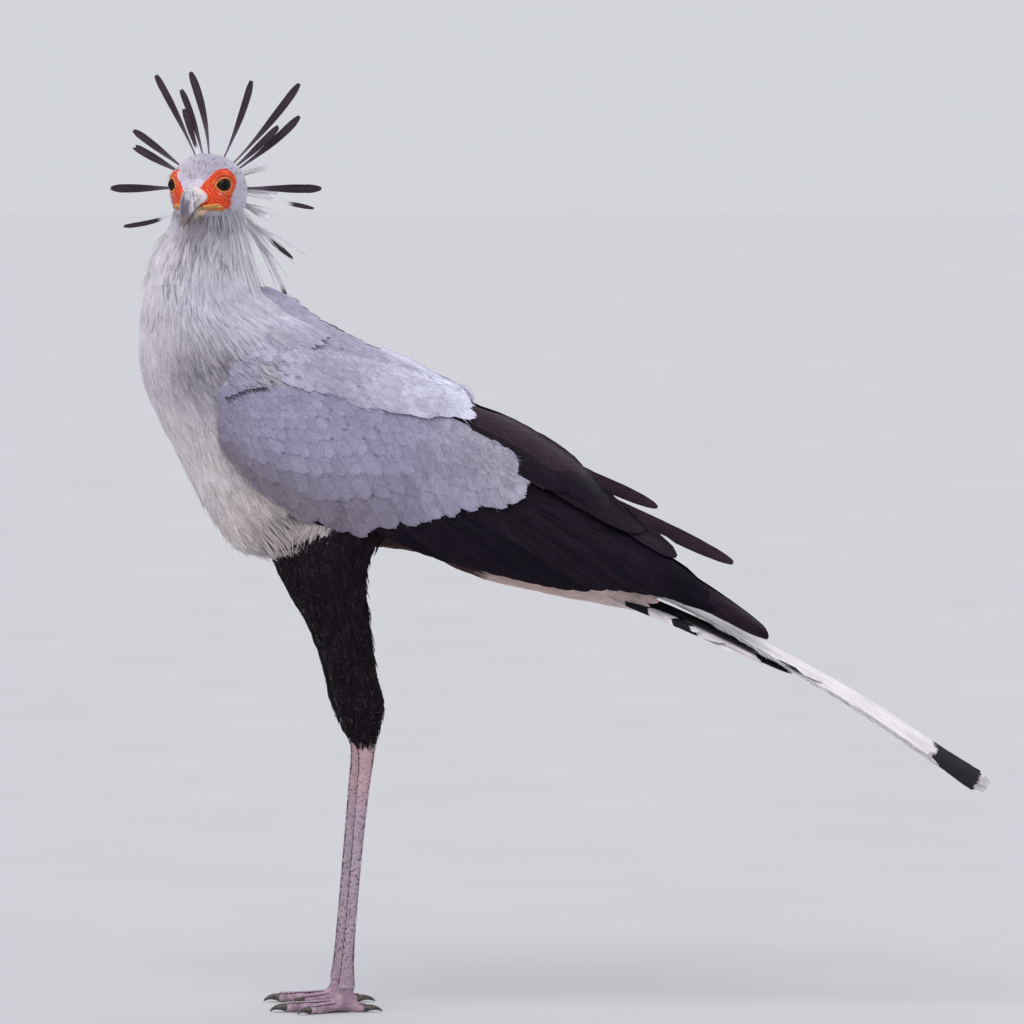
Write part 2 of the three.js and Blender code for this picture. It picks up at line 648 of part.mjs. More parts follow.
function claw(side, toe, grow = 0) {
  const { out, end } = toeLine(side, toe);
  const root = end.clone().addScaledVector(out, -CLAW.buried);
  const bend = end.clone().addScaledVector(out, toe.claw * 0.6).setZ(end.z + CLAW.arch);
  const tip = end.clone().addScaledVector(out, toe.claw).setZ(CLAW.tipHeight);
  const line = new THREE.QuadraticBezierCurve3(root, bend, tip);
  return tubeAlong(line, (t) => toe.thick * CLAW.start * (1 - t) + CLAW.end + grow, 4, 6);
}

function footSolid(side) {
  const x = FOOT_X + legShift(side);
  const swell = (toe) => (t) => toe.thick * (1 - 0.1 * t) * (1 + 0.05 * Math.cos(t * 4 * Math.PI));
  const toes = TOES.map((toe) => tubeAlong(toeLine(side, toe).line, swell(toe), 4, 8));
  const palm = new THREE.SphereGeometry(PALM.radius, 10, 6).scale(1, 0.95, PALM.stretch);
  palm.translate(x, side * LEG_Y, PALM.height);
  const floor = new THREE.BoxGeometry(400, 200, 60).translate(x, side * LEG_Y, -30);
  return cut(fuse([palm, ...toes]), [floor, ...TOES.map((toe) => claw(side, toe, GAP)), tarsus(side, GAP)]);
}

// Tail
function tailFeather(side, { tip, out, width }, layer) {
  const lift = layer * TAIL_LAYER;
  const end = vector(tip[0], side * out, tip[1]);
  const start = vector(TAIL_ROOT_AT.x, side * out * TAIL_ROOT_AT.out, TAIL_ROOT_AT.z + lift);
  const middle = start.clone().lerp(end, 0.5).add(vector(0, 0, 3));
  const line = new THREE.QuadraticBezierCurve3(start, middle, end);
  return vane(line, vector(0, 1, 0), { width, thick: TAIL_THICK, shape: blade });
}

function longTailFeather(side) {
  const line = new THREE.CatmullRomCurve3(LONG_TAIL.map(([x, z]) => vector(x, side * 8, z + side)));
  const shape = (t) => 0.5 + 0.5 * Math.sin(Math.PI * (0.05 + 0.8 * t));
  const stops = [0, 0.2, 0.4, 0.6, 0.8, 0.92, 0.98];
  return vane(line, vector(0, 1, LONG_TAIL_ROLL), { width: LONG_TAIL_WIDTH, thick: 2.2, shape, stops });
}

function undertail(k) {
  const { count, root, tip, sag, spread, width } = UNDERTAIL;
  const t = (2 * k) / (count - 1) - 1;
  const start = vector(root[0], t * spread, root[1]);
  const end = vector(tip[0] - 34 * t * t, t * spread * 1.2, tip[1] + 5 * t * t);
  const middle = start.clone().lerp(end, 0.5).add(vector(0, 0, -sag));
  const line = new THREE.QuadraticBezierCurve3(start, middle, end);
  return vane(line, vector(0, 1, 0), { width, thick: 3, shape: lock, stops: VANE.short });
}

function tailSolid() {
  const pairs = TAIL_PAIRS.flatMap((pair, k) => SIDES.map(([side], n) => tailFeather(side, pair, k + n / 2)));
  const long = SIDES.map(([side]) => longTailFeather(side));
  const below = list(UNDERTAIL.count, undertail);
  return cut(fuse([tailSkin(), ...pairs, ...long, ...below]), [torsoSkin(grown)]);
}

function buildBird() {
  const bird = new THREE.Group();
  const wings = SIDES.map(([side]) => wingSolid(side));
  bird.add(partOf('head', 'grey', headSolid()));
  bird.add(partOf('bill_upper', 'horn', cut(solidOf(upperBill()), SIDES.map(([side]) => nostril(side)))));
  bird.add(partOf('bill_lower', 'horn', cut(solidOf(lowerBill()), [upperBill(GAP)])));
  bird.add(partOf('neck', 'grey', neckSolid()));
  bird.add(partOf('torso', 'white', solidOf(torsoSkin())));
  bird.add(partOf('tail', 'black', tailSolid()));
  SIDES.forEach(([side, name], n) => {
    const leg = cut(solidOf(thigh(side)), [torsoSkin(grown), wingCore(side, GROWTH)]);
    bird.add(partOf(`eye_${name}`, 'eye', solidOf(eyeBall(side))));
    bird.add(partOf(`wing_${name}`, 'grey', wings[n]));
    bird.add(partOf(`thigh_${name}`, 'black', leg.subtract(wings[n])));
    bird.add(partOf(`tarsus_${name}`, 'leg', solidOf(tarsus(side))));
    bird.add(partOf(`foot_${name}`, 'leg', footSolid(side)));
    TOES.forEach((toe) => bird.add(partOf(`claw_${name}_${toe.name}`, 'claw', solidOf(claw(side, toe)))));
  });
  return bird;
}

export default buildBird();
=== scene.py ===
import math

import bmesh
import bpy
import numpy as np
from bpy.props import FloatProperty, FloatVectorProperty, PointerProperty
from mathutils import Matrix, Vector


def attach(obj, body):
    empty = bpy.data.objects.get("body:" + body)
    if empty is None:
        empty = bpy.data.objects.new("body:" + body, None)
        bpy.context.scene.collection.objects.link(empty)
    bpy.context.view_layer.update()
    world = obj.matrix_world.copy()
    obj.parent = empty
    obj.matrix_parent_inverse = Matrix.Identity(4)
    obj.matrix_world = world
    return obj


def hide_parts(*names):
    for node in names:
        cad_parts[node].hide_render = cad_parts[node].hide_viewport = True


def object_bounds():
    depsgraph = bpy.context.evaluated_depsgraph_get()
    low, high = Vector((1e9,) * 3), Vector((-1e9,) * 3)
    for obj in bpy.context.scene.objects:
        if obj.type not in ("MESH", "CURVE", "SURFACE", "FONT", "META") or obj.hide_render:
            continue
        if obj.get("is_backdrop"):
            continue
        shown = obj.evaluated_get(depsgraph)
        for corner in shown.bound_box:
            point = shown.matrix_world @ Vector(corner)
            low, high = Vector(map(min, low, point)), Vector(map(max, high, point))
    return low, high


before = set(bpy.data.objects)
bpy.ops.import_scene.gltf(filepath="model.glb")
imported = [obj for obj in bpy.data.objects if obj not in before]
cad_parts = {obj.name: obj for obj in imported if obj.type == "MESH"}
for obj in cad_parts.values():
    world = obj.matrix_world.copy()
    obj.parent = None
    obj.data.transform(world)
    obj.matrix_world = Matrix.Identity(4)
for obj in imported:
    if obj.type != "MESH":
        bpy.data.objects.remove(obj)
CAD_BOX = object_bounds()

# A secretary bird standing still, at life size.
# The shapes are worked out in millimetres and become metres when a mesh is made.
# The body faces -X with its left side towards -Y, and side -1 is the left one.

bl_info = {
    "name": "Secretary bird",
    "version": (1, 0, 0),
    "blender": (4, 5, 0),
    "location": "3D View > Sidebar > Bird",
    "description": "Builds the skin, plumage, face and legs of a standing secretary bird",
    "category": "Object",
}

MM = 0.001
TURN = 2 * math.pi
SIDES = (-1, 1)
SIDE_NAMES = {-1: "left", 1: "right"}
TRIANGLE_LIMIT = 200_000
SHARP_ANGLE = math.radians(70)
# Width of the square of the baked map that each small feather gets
PATCH_SIZE = 0.003

# Body: each station is a slanted cut, given by its front, its back and its half width
NECK = [
    ((-410, 908), (-356, 908), 24), ((-421, 883), (-343, 883), 36), ((-437, 855), (-341, 860), 41),
    ((-447, 827), (-337, 831), 46), ((-452, 797), (-327, 804), 52), ((-457, 771), (-308, 788), 58),
]
TORSO = [
    ((-459, 737), (-274, 775), 66), ((-453, 701), (-240, 760), 69), ((-436, 663), (-210, 747), 70),
    ((-417, 627), (-181, 736), 70), ((-399, 589), (-153, 724), 70), ((-376, 552), (-127, 710), 69),
    ((-347, 516), (-102, 697), 67), ((-291, 512), (-78, 680), 64), ((-235, 520), (-55, 661), 59),
    ((-184, 521), (-35, 641), 55), ((-139, 514), (-14, 618), 49), ((-98, 494), (12, 588), 43),
]
TAIL_ROOT = [
    ((-50, 478), (45, 554), 39), ((10, 466), (72, 520), 35), ((62, 456), (98, 488), 30),
    ((98, 450), (116, 469), 24),
]
NECK_END = len(NECK) - 1
TORSO_END = NECK_END + len(TORSO)

# Folded wing, seen from the side, and the half width of the bird across both wings
WING_LOWER = [
    (-377, 660), (-368, 628), (-349, 606), (-316, 584), (-255, 551), (-203, 534), (-167, 535),
    (-122, 517), (-78, 502), (23, 477), (79, 475), (136, 467), (174, 455), (223, 428), (245, 419),
]
WING_UPPER = [
    (-377, 690), (-368, 718), (-350, 741), (-324, 749), (-279, 745), (-217, 730), (-145, 710),
    (-94, 691), (-58, 671), (-18, 645), (35, 604), (90, 546), (138, 517), (197, 466), (245, 426),
]
WING_SPREAD = [
    (-377, 70), (-355, 82), (-300, 91), (-150, 92), (-60, 88), (23, 74), (100, 56), (174, 38), (245, 22),
]
WING_RIDGE = [(-377, 64), (-350, 56), (-280, 46), (-200, 32), (-110, 20), (0, 15), (245, 9)]
WING_FOLD = {"bulge": 0.3, "tuck": 0.14, "past": 0.8, "least": 6.0}

# Legs and feet: the far one stands a little further forward
LEG_Y = 48.0
FAR_LEG_AHEAD = 10.0
THIGH = [
    ((-279, 566), (-158, 566), 26), ((-303, 513), (-201, 513), 35), ((-285, 468), (-206, 473), 35),
    ((-261, 426), (-201, 426), 30), ((-246, 383), (-195, 383), 26), ((-238, 347), (-185, 343), 24),
    ((-227, 316), (-190, 318), 17), ((-215, 298), (-195, 300), 12),
]
TARSUS = [
    ((-215, 298), (-195, 300), 11), ((-214, 280), (-197, 281), 9.5), ((-216.5, 248), (-202, 248), 7),
    ((-222.5, 176), (-210, 176), 6.2), ((-229.5, 95), (-217, 95), 6.2), ((-234, 50), (-219, 50), 7.5),
    ((-239, 26), (-217, 26), 10),
]
FOOT_X = -229.0
PALM = {"radius": 12.0, "height": 13.0, "stretch": 1.15}
TOES = {
    "1": {"turn": 176, "length": 25, "thick": 6.0, "claw": 17},
    "2": {"turn": -30, "length": 46, "thick": 6.0, "claw": 15},
    "3": {"turn": 2, "length": 68, "thick": 6.8, "claw": 16},
    "4": {"turn": 32, "length": 48, "thick": 6.0, "claw": 14},
}
SOLE_CUT = 1.2
CLAW = {"buried": 3.0, "start": 0.62, "end": 0.6, "arch": 3.0, "tip_height": 1.2}

# Head, in its own frame: ahead of, left of and above the point between the ears
HEAD_AT = np.array([-382.7, -12.0, 924.6])
HEAD_TURN = math.radians(21)
HEAD_AHEAD = np.array([-math.sin(HEAD_TURN), -math.cos(HEAD_TURN), 0.0])
HEAD_LEFT = np.array([math.cos(HEAD_TURN), -math.sin(HEAD_TURN), 0.0])
UP = np.array([0.0, 0.0, 1.0])
# Each station of the skull: how far ahead, its half width, and how far it reaches up and down
SKULL = [
    (-49, 12, 6, -10), (-45, 22, 16, -24), (-36, 32, 25, -36), (-21, 40.5, 32, -42), (-4, 42.5, 34.4, -42),
    (10, 40, 33.2, -40), (20, 36.5, 29, -36), (29, 30, 20, -31), (36, 22, 8, -27),
]
CHEEK = 0.62
SKULL_SHIFT = 2.2
# Height of the lowest feathers that grow from the skull
HEAD_LOW = 872.0
EYE = {"ahead": 22.5, "left": 26.5, "above": 0.0, "radius": 10.0, "facing": 45.0}
UPPER_BILL = [
    (36, -2, -22, 14.5), (44, -1.6, -25, 12.5), (52, -3, -30, 10.4), (58.5, -5.4, -36, 8),
    (63.5, -11, -42, 5.4), (66, -22, -46, 3.2),
]
LOWER_BILL = [(36, -22.5, -33, 16), (44, -25.5, -37, 12.5), (52, -30.5, -41, 8.5), (57, -36, -43.5, 5)]
HOOK = {"ahead": 67.0, "above": -48.7}
NOSTRIL = {"ahead": 45.0, "above": -13.0, "long": 3.6, "high": 1.6, "deep": 2.4}

# Crest: each feather leaves the skull at one turn from straight up and ends at another
# Its centre, how it leans and droops to the rear, where its feathers start and how far they bend
CREST_AT = np.array([-382.5, 14.0, 921.8])
CREST_LEAN = 0.3
CREST_DROOP = 0.5
CREST_DROP_FAR = 60.0
CREST_ROOT = 18.0
CREST_BEND = 4.0
# Turn at its root, turn at its tip, how far it reaches and its width
CREST = [
    (-134, -114.5, 108, 5.5), (-91, -91, 113, 10), (-63, -62, 95, 9), (-53, -53.7, 107.5, 8.5),
    (-22, -26, 140, 8), (-17, -18, 92, 7), (-9, -16.3, 114, 7.5), (3, -9.4, 131, 9), (29, 22, 128.5, 8),
    (47, 41.3, 154.5, 9), (54, 49.3, 104, 8), (60, 52.3, 130, 9), (91, 90.5, 127, 10),
    (101, 101.2, 121, 5), (130.6, 130.6, 124, 5.5), (132, 146, 157, 5), (70, 70, 74, 5),
    (95.5, 95.5, 78, 6), (116, 116, 80, 5.5),
]
# One feather of the nape stands further to the rear
CREST_BEHIND = {15: 24.0}

# Tail: pairs of feathers from the outermost to the innermost, then the two long ones
TAIL_PAIRS = [
    ((167, 427), 37, 28), ((196, 413), 31, 30), ((240, 391), 25, 31), ((272, 378), 19, 31),
    ((306, 368), 13, 30),
]
TAIL_ROOT_AT = {"x": 46.0, "z": 478.0, "out": 0.4}
TAIL_LAYER = 2.1
LONG_TAIL = [(48, 496), (150, 457), (250, 402), (350, 344), (430, 291), (470, 264), (494, 249)]
LONG_TAIL_WIDTH = 37.0


# Numbers and curves

def dice(seed):
    return np.random.default_rng(seed)


def circle(sides):
    return np.linspace(0, TURN, sides, endpoint=False)


def mix(first, last, share):
    first = np.asarray(first, float)
    return first + (last - first) * share


def ramp(low, high, value):
    """0 below low, 1 above high, and a soft step between them."""
    share = np.clip((value - low) / (high - low), 0, 1)
    return share * share * (3 - 2 * share)


def unit(vectors):
    return vectors / np.maximum(np.linalg.norm(vectors, axis=-1, keepdims=True), 1e-9)


def smooth(points, share):
    """Places on a smooth curve through points, at shares from 0 to 1 of its steps."""
    points = np.asarray(points, float)
    if points.ndim == 1:
        points = points[:, None]
    last = len(points) - 1
    place = np.clip(share, 0, 1) * last
    step = np.minimum(np.floor(place).astype(int), last - 1)
    rest = (place - step)[..., None]
    padded = np.vstack([2 * points[0] - points[1], points, 2 * points[-1] - points[-2]])
    a, b, c, d = (padded[step + k] for k in range(4))
    bend = 2 * a - 5 * b + 4 * c - d
    return 0.5 * (2 * b + (c - a) * rest + bend * rest ** 2 + (3 * b - a - 3 * c + d) * rest ** 3)


def bezier(start, middle, end, share):
    share = np.asarray(share)[..., None]
    return start * (1 - share) ** 2 + middle * 2 * share * (1 - share) + end * share ** 2


def dense(pairs, steps=240):
    """A table of pairs drawn out along a smooth curve, for reading with np.interp."""
    line = smooth(pairs, np.linspace(0, 1, steps))
    return np.maximum.accumulate(line[:, 0]), line[:, 1]


def stack(*columns):
    return np.stack(np.broadcast_arrays(*columns), axis=-1)


def ripple(points, size, seed):
    """A gentle wave over points, from -1 to 1, that repeats about every size."""
    draw = dice(seed)
    total = 0
    for _ in range(4):
        way = unit(draw.normal(size=points.shape[-1]))
        total = total + np.sin(points @ way * (TURN / size) * draw.uniform(0.7, 1.4) + draw.uniform(0, 6.3))
    return total / 3


class Surface:
    """A skin that is read at stations and turns. Feathers lie onward, or back where that is -1."""

    onward = 1.0

    def rings(self, steps, sides, lift=0.0):
        at, turn = np.broadcast_arrays(np.linspace(0, self.last, steps)[:, None], circle(sides)[None])
        return self.point(at, turn, lift)

    def patch(self, at, turn):
        """Places on the baked map."""
        return stack(turn / TURN % 1, at / self.last) * 0.96 + 0.02

    def laid(self, at, turn, length, root, tip, draw, loose=0.1):
        """Feathers that leave the skin root above it and end tip above it.

        Gives their places, the way each lies, the way out of the skin and their places on the map."""
        points = self.point(at, turn, root)
        near = self.point(at + 0.05 * self.onward, turn) - self.point(at, turn)
        pace = np.linalg.norm(near, axis=1) / 0.05
        far = at + self.onward * length / np.maximum(pace, 4)
        wide = np.linalg.norm(self.point(at, turn + 0.05) - self.point(at, turn - 0.05), axis=1) / 0.1
        sway = draw.normal(size=len(at)) * loose * length / np.maximum(wide, 6)
        lie = unit(self.point(far, turn + sway, tip) - points)
        return points, lie, self.ways(at, turn)[1], self.patch(at, turn)


class Run(Surface):
    """A smooth run through slanted cuts. Turn 0 is its front, and a quarter turn its left side."""

    def __init__(self, stations, middle=0.0, shift=0.0):
        self.last = len(stations) - 1
        self.front = np.array([(front[0] + shift, middle, front[1]) for front, _, _ in stations])
        self.back = np.array([(back[0] + shift, middle, back[1]) for _, back, _ in stations])
        self.half = np.array([half for _, _, half in stations], float)

    def point(self, at, turn, lift=0.0):
        share = np.asarray(at) / self.last
        front, back, half = (smooth(line, share) for line in (self.front, self.back, self.half))
        reach = (back - front) / 2
        size = np.linalg.norm(reach, axis=-1)
        point = (front + back) / 2 - reach * ((size + lift) / size * np.cos(turn))[..., None]
        point[..., 1] -= (half[..., 0] + lift) * np.sin(turn)
        return point

    def ways(self, at, turn):
        """The way along the run and the way out of it, at places on its surface."""
        step = 0.02
        low, high = (np.clip(np.asarray(at) + way, 0, self.last) for way in (-step, step))
        along = unit(self.point(high, turn) - self.point(low, turn))
        around = self.point(at, turn + step) - self.point(at, turn - step)
        out = unit(np.cross(around, along))
        inside = self.point(at, turn, -1.0) - self.point(at, turn)
        return along, out * -np.sign(np.sum(out * inside, axis=-1, keepdims=True))


BODY = Run(NECK + TORSO + TAIL_ROOT)


def leg_shift(side):
    return -FAR_LEG_AHEAD if side > 0 else 0.0


def leg_run(stations, side):
    return Run(stations, side * LEG_Y, leg_shift(side))


def head_point(ahead, left, above):
    ahead, left, above = (np.asarray(value, float)[..., None] for value in (ahead, left, above))
    return HEAD_AT + HEAD_AHEAD * ahead + HEAD_LEFT * left + UP * above


def in_head(points):
    """How far points are ahead of, left of and above the point between the ears."""
    away = points - HEAD_AT
    return away @ HEAD_AHEAD, away @ HEAD_LEFT, away[..., 2]


class Skull(Surface):
    """The skull, from the nape to the bill. Turn 0 is the chin, and its feathers lie to the nape."""

    last = len(SKULL) - 1
    onward = -1.0

    def point(self, at, turn, lift=0.0):
        ahead, half, top, low = np.moveaxis(smooth(SKULL, np.asarray(at) / self.last), -1, 0)
        rise = (top - low) / 2 + lift
        power = np.where(np.cos(turn) > 0, CHEEK, 1.0)
        aside = np.sign(np.sin(turn)) * np.abs(np.sin(turn)) ** power
        aside = aside * (half + lift) - SKULL_SHIFT * ramp(20, 0, ahead)
        return head_point(ahead, aside, (top + low) / 2 - np.cos(turn) * rise)

    def ways(self, at, turn):
        step = 0.03
        back = unit(self.point(at - step, turn) - self.point(at + step, turn))
        around = self.point(at, turn + step) - self.point(at, turn - step)
        out = unit(np.cross(around, back))
        away = self.point(at, turn) - head_point(0.0, 0.0, -4.0)
        return back, out * np.sign(np.sum(out * away, axis=-1, keepdims=True))


HEAD = Skull()
LOWER_EDGE, UPPER_EDGE, SPREAD, RIDGE = map(dense, (WING_LOWER, WING_UPPER, WING_SPREAD, WING_RIDGE))


def wing_half(x, z):
    """Half width of the folded wings at a place seen from the side."""
    low, top, spread, edge = (np.interp(x, *line) for line in (LOWER_EDGE, UPPER_EDGE, SPREAD, RIDGE))
    height = (z - low) / np.maximum(1, top - low)
    bulge = WING_FOLD["bulge"]
    rise = np.clip((height - bulge) / (1 - bulge), 0, 1)
    down = np.clip(1 - height / bulge, 0, 1.5)
    half = (edge + (spread - edge) * np.sqrt(1 - rise ** 2)) * (1 - WING_FOLD["tuck"] * down ** 2)
    return np.maximum(WING_FOLD["least"], half - WING_FOLD["past"] * np.maximum(0, z - top))


def wing_point(side, x, z, lift):
    """A place on the folded wing, lifted square to its surface."""
    step = 2.0
    along = (wing_half(x + step, z) - wing_half(x - step, z)) / (2 * step)
    rise = (wing_half(x, z + step) - wing_half(x, z - step)) / (2 * step)
    out = unit(stack(-along, np.ones_like(along), -np.clip(rise, -2.5, 2.5)))
    point = stack(x, wing_half(x, z), z) + out * np.broadcast_to(lift, x.shape)[..., None]
    point[..., 1] = np.maximum(point[..., 1], WING_FOLD["least"] - 4) * side
    return point


# What the operators share: materials by name, and the tree and pieces of the coat

FINISH = {}
TREES = {}


# Meshes

def read(parts, key, wide=1, kind=float):
    """One value of every part of a mesh, in rows where it is wide."""
    values = np.empty(len(parts) * wide, kind)
    parts.foreach_get(key, values)
    return values.reshape(-1, wide) if wide > 1 else values


def read_points(mesh):
    """The vertices of a mesh in millimetres."""
    return read(mesh.vertices, "co", 3) / MM


def write_points(mesh, points):
    mesh.vertices.foreach_set("co", (points * MM).ravel())
    mesh.update()


# How a mesh keeps a value of one, three or four numbers for each vertex
VALUE_KINDS = {1: ("FLOAT", "value"), 3: ("FLOAT_VECTOR", "vector"), 4: ("FLOAT_COLOR", "color")}


def add_values(mesh, name, values):
    """Values for each vertex, under a name that materials read, or a UV map of two numbers."""
    wide = 1 if np.ndim(values) == 1 else values.shape[1]
    if wide == 2:
        corners = read(mesh.loops, "vertex_index", 1, np.int32)
        mesh.uv_layers.new(name=name).data.foreach_set("uv", values[corners].ravel())
        return
    kind, key = VALUE_KINDS[wide]
    mesh.attributes.new(name, kind, "POINT").data.foreach_set(key, np.asarray(values, float).ravel())


def mesh_of(name, points, quads, triangles=()):
    """A smooth mesh in metres from points in millimetres."""
    quads = np.asarray(quads, np.int32).reshape(-1, 4)
    triangles = np.asarray(triangles, np.int32).reshape(-1, 3)
    corners = np.concatenate([quads.ravel(), triangles.ravel()])
    starts = np.concatenate([np.arange(len(quads)) * 4, quads.size + np.arange(len(triangles)) * 3])
    mesh = bpy.data.meshes.new(name)
    mesh.vertices.add(len(points))
    mesh.vertices.foreach_set("co", (np.asarray(points) * MM).ravel())
    mesh.loops.add(len(corners))
    mesh.loops.foreach_set("vertex_index", corners)
    mesh.polygons.add(len(starts))
    mesh.polygons.foreach_set("loop_start", starts)
    mesh.polygons.foreach_set("use_smooth", np.ones(len(starts), bool))
    mesh.update(calc_edges=True)
    mesh.validate()
    return mesh


def show(name, mesh, finish, nodes=()):
    """Puts a finished mesh in the scene as a piece of the bird."""
    mesh.calc_loop_triangles()
    if len(mesh.loop_triangles) > TRIANGLE_LIMIT:
        raise RuntimeError(f"{name} has {len(mesh.loop_triangles)} triangles")
    mesh.set_sharp_from_angle(angle=SHARP_ANGLE)
    mesh.materials.clear()
    mesh.materials.append(FINISH[finish])
    piece = bpy.data.objects.new(name, mesh)
    bpy.context.scene.collection.objects.link(piece)
    if nodes:
        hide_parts(*nodes)
    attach(piece, "root")


def through_modifier(mesh, kind, fill):
    """The plain mesh that one modifier makes of a mesh."""
    carrier = bpy.data.objects.new(mesh.name, mesh)
    bpy.context.scene.collection.objects.link(carrier)
    modifier = carrier.modifiers.new("Shape", kind)
    fill(modifier)
    graph = bpy.context.evaluated_depsgraph_get()
    made = bpy.data.meshes.new_from_object(carrier.evaluated_get(graph), depsgraph=graph)
    carrier.modifiers.remove(modifier)
    bpy.data.objects.remove(carrier)
    return made


def open_faces(rows, columns, closed):
    """Corners of the faces of a grid, whose rows close on themselves where closed is set."""
    grid = np.arange(rows * columns).reshape(rows, columns)
    if closed:
        grid = np.hstack([grid, grid[:, :1]])
    return stack(grid[:-1, :-1], grid[:-1, 1:], grid[1:, 1:], grid[1:, :-1]).reshape(-1, 4)


class Pile:
    """Closed pieces gathered into one mesh, with a value for each vertex under each name."""

    def __init__(self):
        self.points = []
        self.quads = []
        self.triangles = []
        self.values = {}
        self.count = 0

    def add(self, points, quads, triangles=(), **values):
        """Adds pieces that share their faces: points hold one row for each piece."""
        points = np.asarray(points)
        if points.ndim == 2:
            points = points[None]
        pieces, size = points.shape[:2]
        quads = np.asarray(quads, int).reshape(-1, 4)
        triangles = np.asarray(triangles, int).reshape(-1, 3)
        fans = np.vstack([quads[:, [0, 1, 2]], quads[:, [0, 2, 3]], triangles])
        a, b, c = (points[:, fans[:, k]] - points[:, :1] for k in range(3))
        inside_out = np.sum(a * np.cross(b, c), axis=(1, 2)) < 0
        shift = self.count + np.arange(pieces)[:, None, None] * size
        for kind, faces in (("quads", quads), ("triangles", triangles)):
            if len(faces):
                turned = np.where(inside_out[:, None, None], faces[None, :, ::-1], faces[None])
                getattr(self, kind).append((turned + shift).reshape(-1, faces.shape[1]))
        self.points.append(points.reshape(-1, 3))
        for name, value in values.items():
            wide = np.shape(value)[-1]
            spread = np.broadcast_to(value, (pieces, size, wide)).reshape(-1, wide)
            self.values.setdefault(name, []).append(spread)
        self.count += pieces * size

    def loft(self, rings, tip=None, **readers):
        """Adds a closed skin over rings, with the values that are read at its points."""
        points, quads, triangles = loft(rings, tip)
        self.add(points, quads, triangles, **{name: read_at(points) for name, read_at in readers.items()})
        return self

    def mesh(self, name):
        quads, triangles = (np.vstack(faces) if faces else () for faces in (self.quads, self.triangles))
        mesh = mesh_of(name, np.vstack(self.points), quads, triangles)
        for key, parts in self.values.items():
            add_values(mesh, key, np.vstack(parts))
        return mesh

    def show(self, name, finish, slot, nodes=()):
        show(name, self.mesh(name), finish, nodes)


def loft(rings, tip=None):
    """Points, quads and triangles of a closed skin over rings, ended by a point at each end."""
    rows, sides = rings.shape[:2]
    end = rings[-1].mean(axis=0) if tip is None else tip
    points = np.vstack([rings.reshape(-1, 3), rings[0].mean(axis=0), end])
    ring = np.arange(sides)
    after = (ring + 1) % sides
    first = stack(rows * sides, after, ring)
    far = (rows - 1) * sides
    last = stack(rows * sides + 1, far + ring, far + after)
    return points, open_faces(rows, sides, True), np.vstack([first, last])


def lens_faces(rows, columns):
    """Faces of a thin closed vane: an upper and a lower sheet that share their rim."""
    upper = np.arange(rows * columns).reshape(rows, columns)
    lower = upper.copy()
    inner = (rows - 2) * (columns - 2)
    lower[1:-1, 1:-1] = rows * columns + np.arange(inner).reshape(rows - 2, columns - 2)
    sheet = open_faces(rows, columns, False)
    return np.vstack([sheet, lower.ravel()[sheet][:, ::-1]])


def lens_points(upper, lower):
    """Vertices of closed vanes from their two sheets, each of pieces, rows, columns and three."""
    pieces = upper.shape[0]
    inner = lower[:, 1:-1, 1:-1].reshape(pieces, -1, upper.shape[-1])
    return np.concatenate([upper.reshape(pieces, -1, upper.shape[-1]), inner], axis=1)


def atlas(count, margin=0.08):
    """One square of a map for each of many feathers: their low corners and the size of all."""
    across = int(math.ceil(math.sqrt(count)))
    size = 1 / across
    place = np.arange(count)
    corner = stack(place % across, place // across) * size
    return corner + size * margin, size * (1 - 2 * margin)


# Feathers laid one by one

def rounded(share):
    """Width of a covert along its length, round at its tip."""
    root = 0.5 + 0.5 * ramp(0, 0.45, share)
    return root * np.sqrt(np.clip(1 - np.clip((share - 0.66) / 0.345, 0, 1) ** 2.6, 0.02, 1))


def bladed(share):
    """Width of a flight feather along its length, with a blunt point."""
    root = 0.6 + 0.4 * ramp(0, 0.4, share)
    return root * np.sqrt(np.clip(1 - np.clip((share - 0.55) / 0.455, 0, 1) ** 3.2, 0.02, 1))


def paddled(share):
    """Width of a crest feather along its length: narrow at its root and wide near its tip."""
    return (0.22 + 0.78 * ramp(0.18, 0.78, share)) * (1 - 0.5 * np.clip((share - 0.88) / 0.12, 0, 1) ** 2)


def grid_of(rows, columns, bunch=1.0):
    """Shares along a feather and places across it, from -1 to 1, with rows bunched at the tip."""
    along = 1 - (1 - np.linspace(0, 1, rows)) ** bunch
    return along[None, :, None], np.linspace(-1, 1, columns)[None, None, :]


def frayed(draw, count, rows, columns, amount, share):
    """How far each corner of a feather's rim strays, mostly at the tip."""
    tip = draw.normal(size=(count, 1, columns)) * ramp(0.7, 1, share)
    return amount * (tip + 0.02 * draw.normal(size=(count, rows, columns)))


def off_tip(take, back, aside):
    """Places on wing feathers, back from their tips and aside of their shafts."""
    angle = np.radians(take["lie"])
    x = take["x"] - np.cos(angle) * back + np.sin(angle) * aside
    return x, take["z"] + np.sin(angle) * back + np.cos(angle) * aside


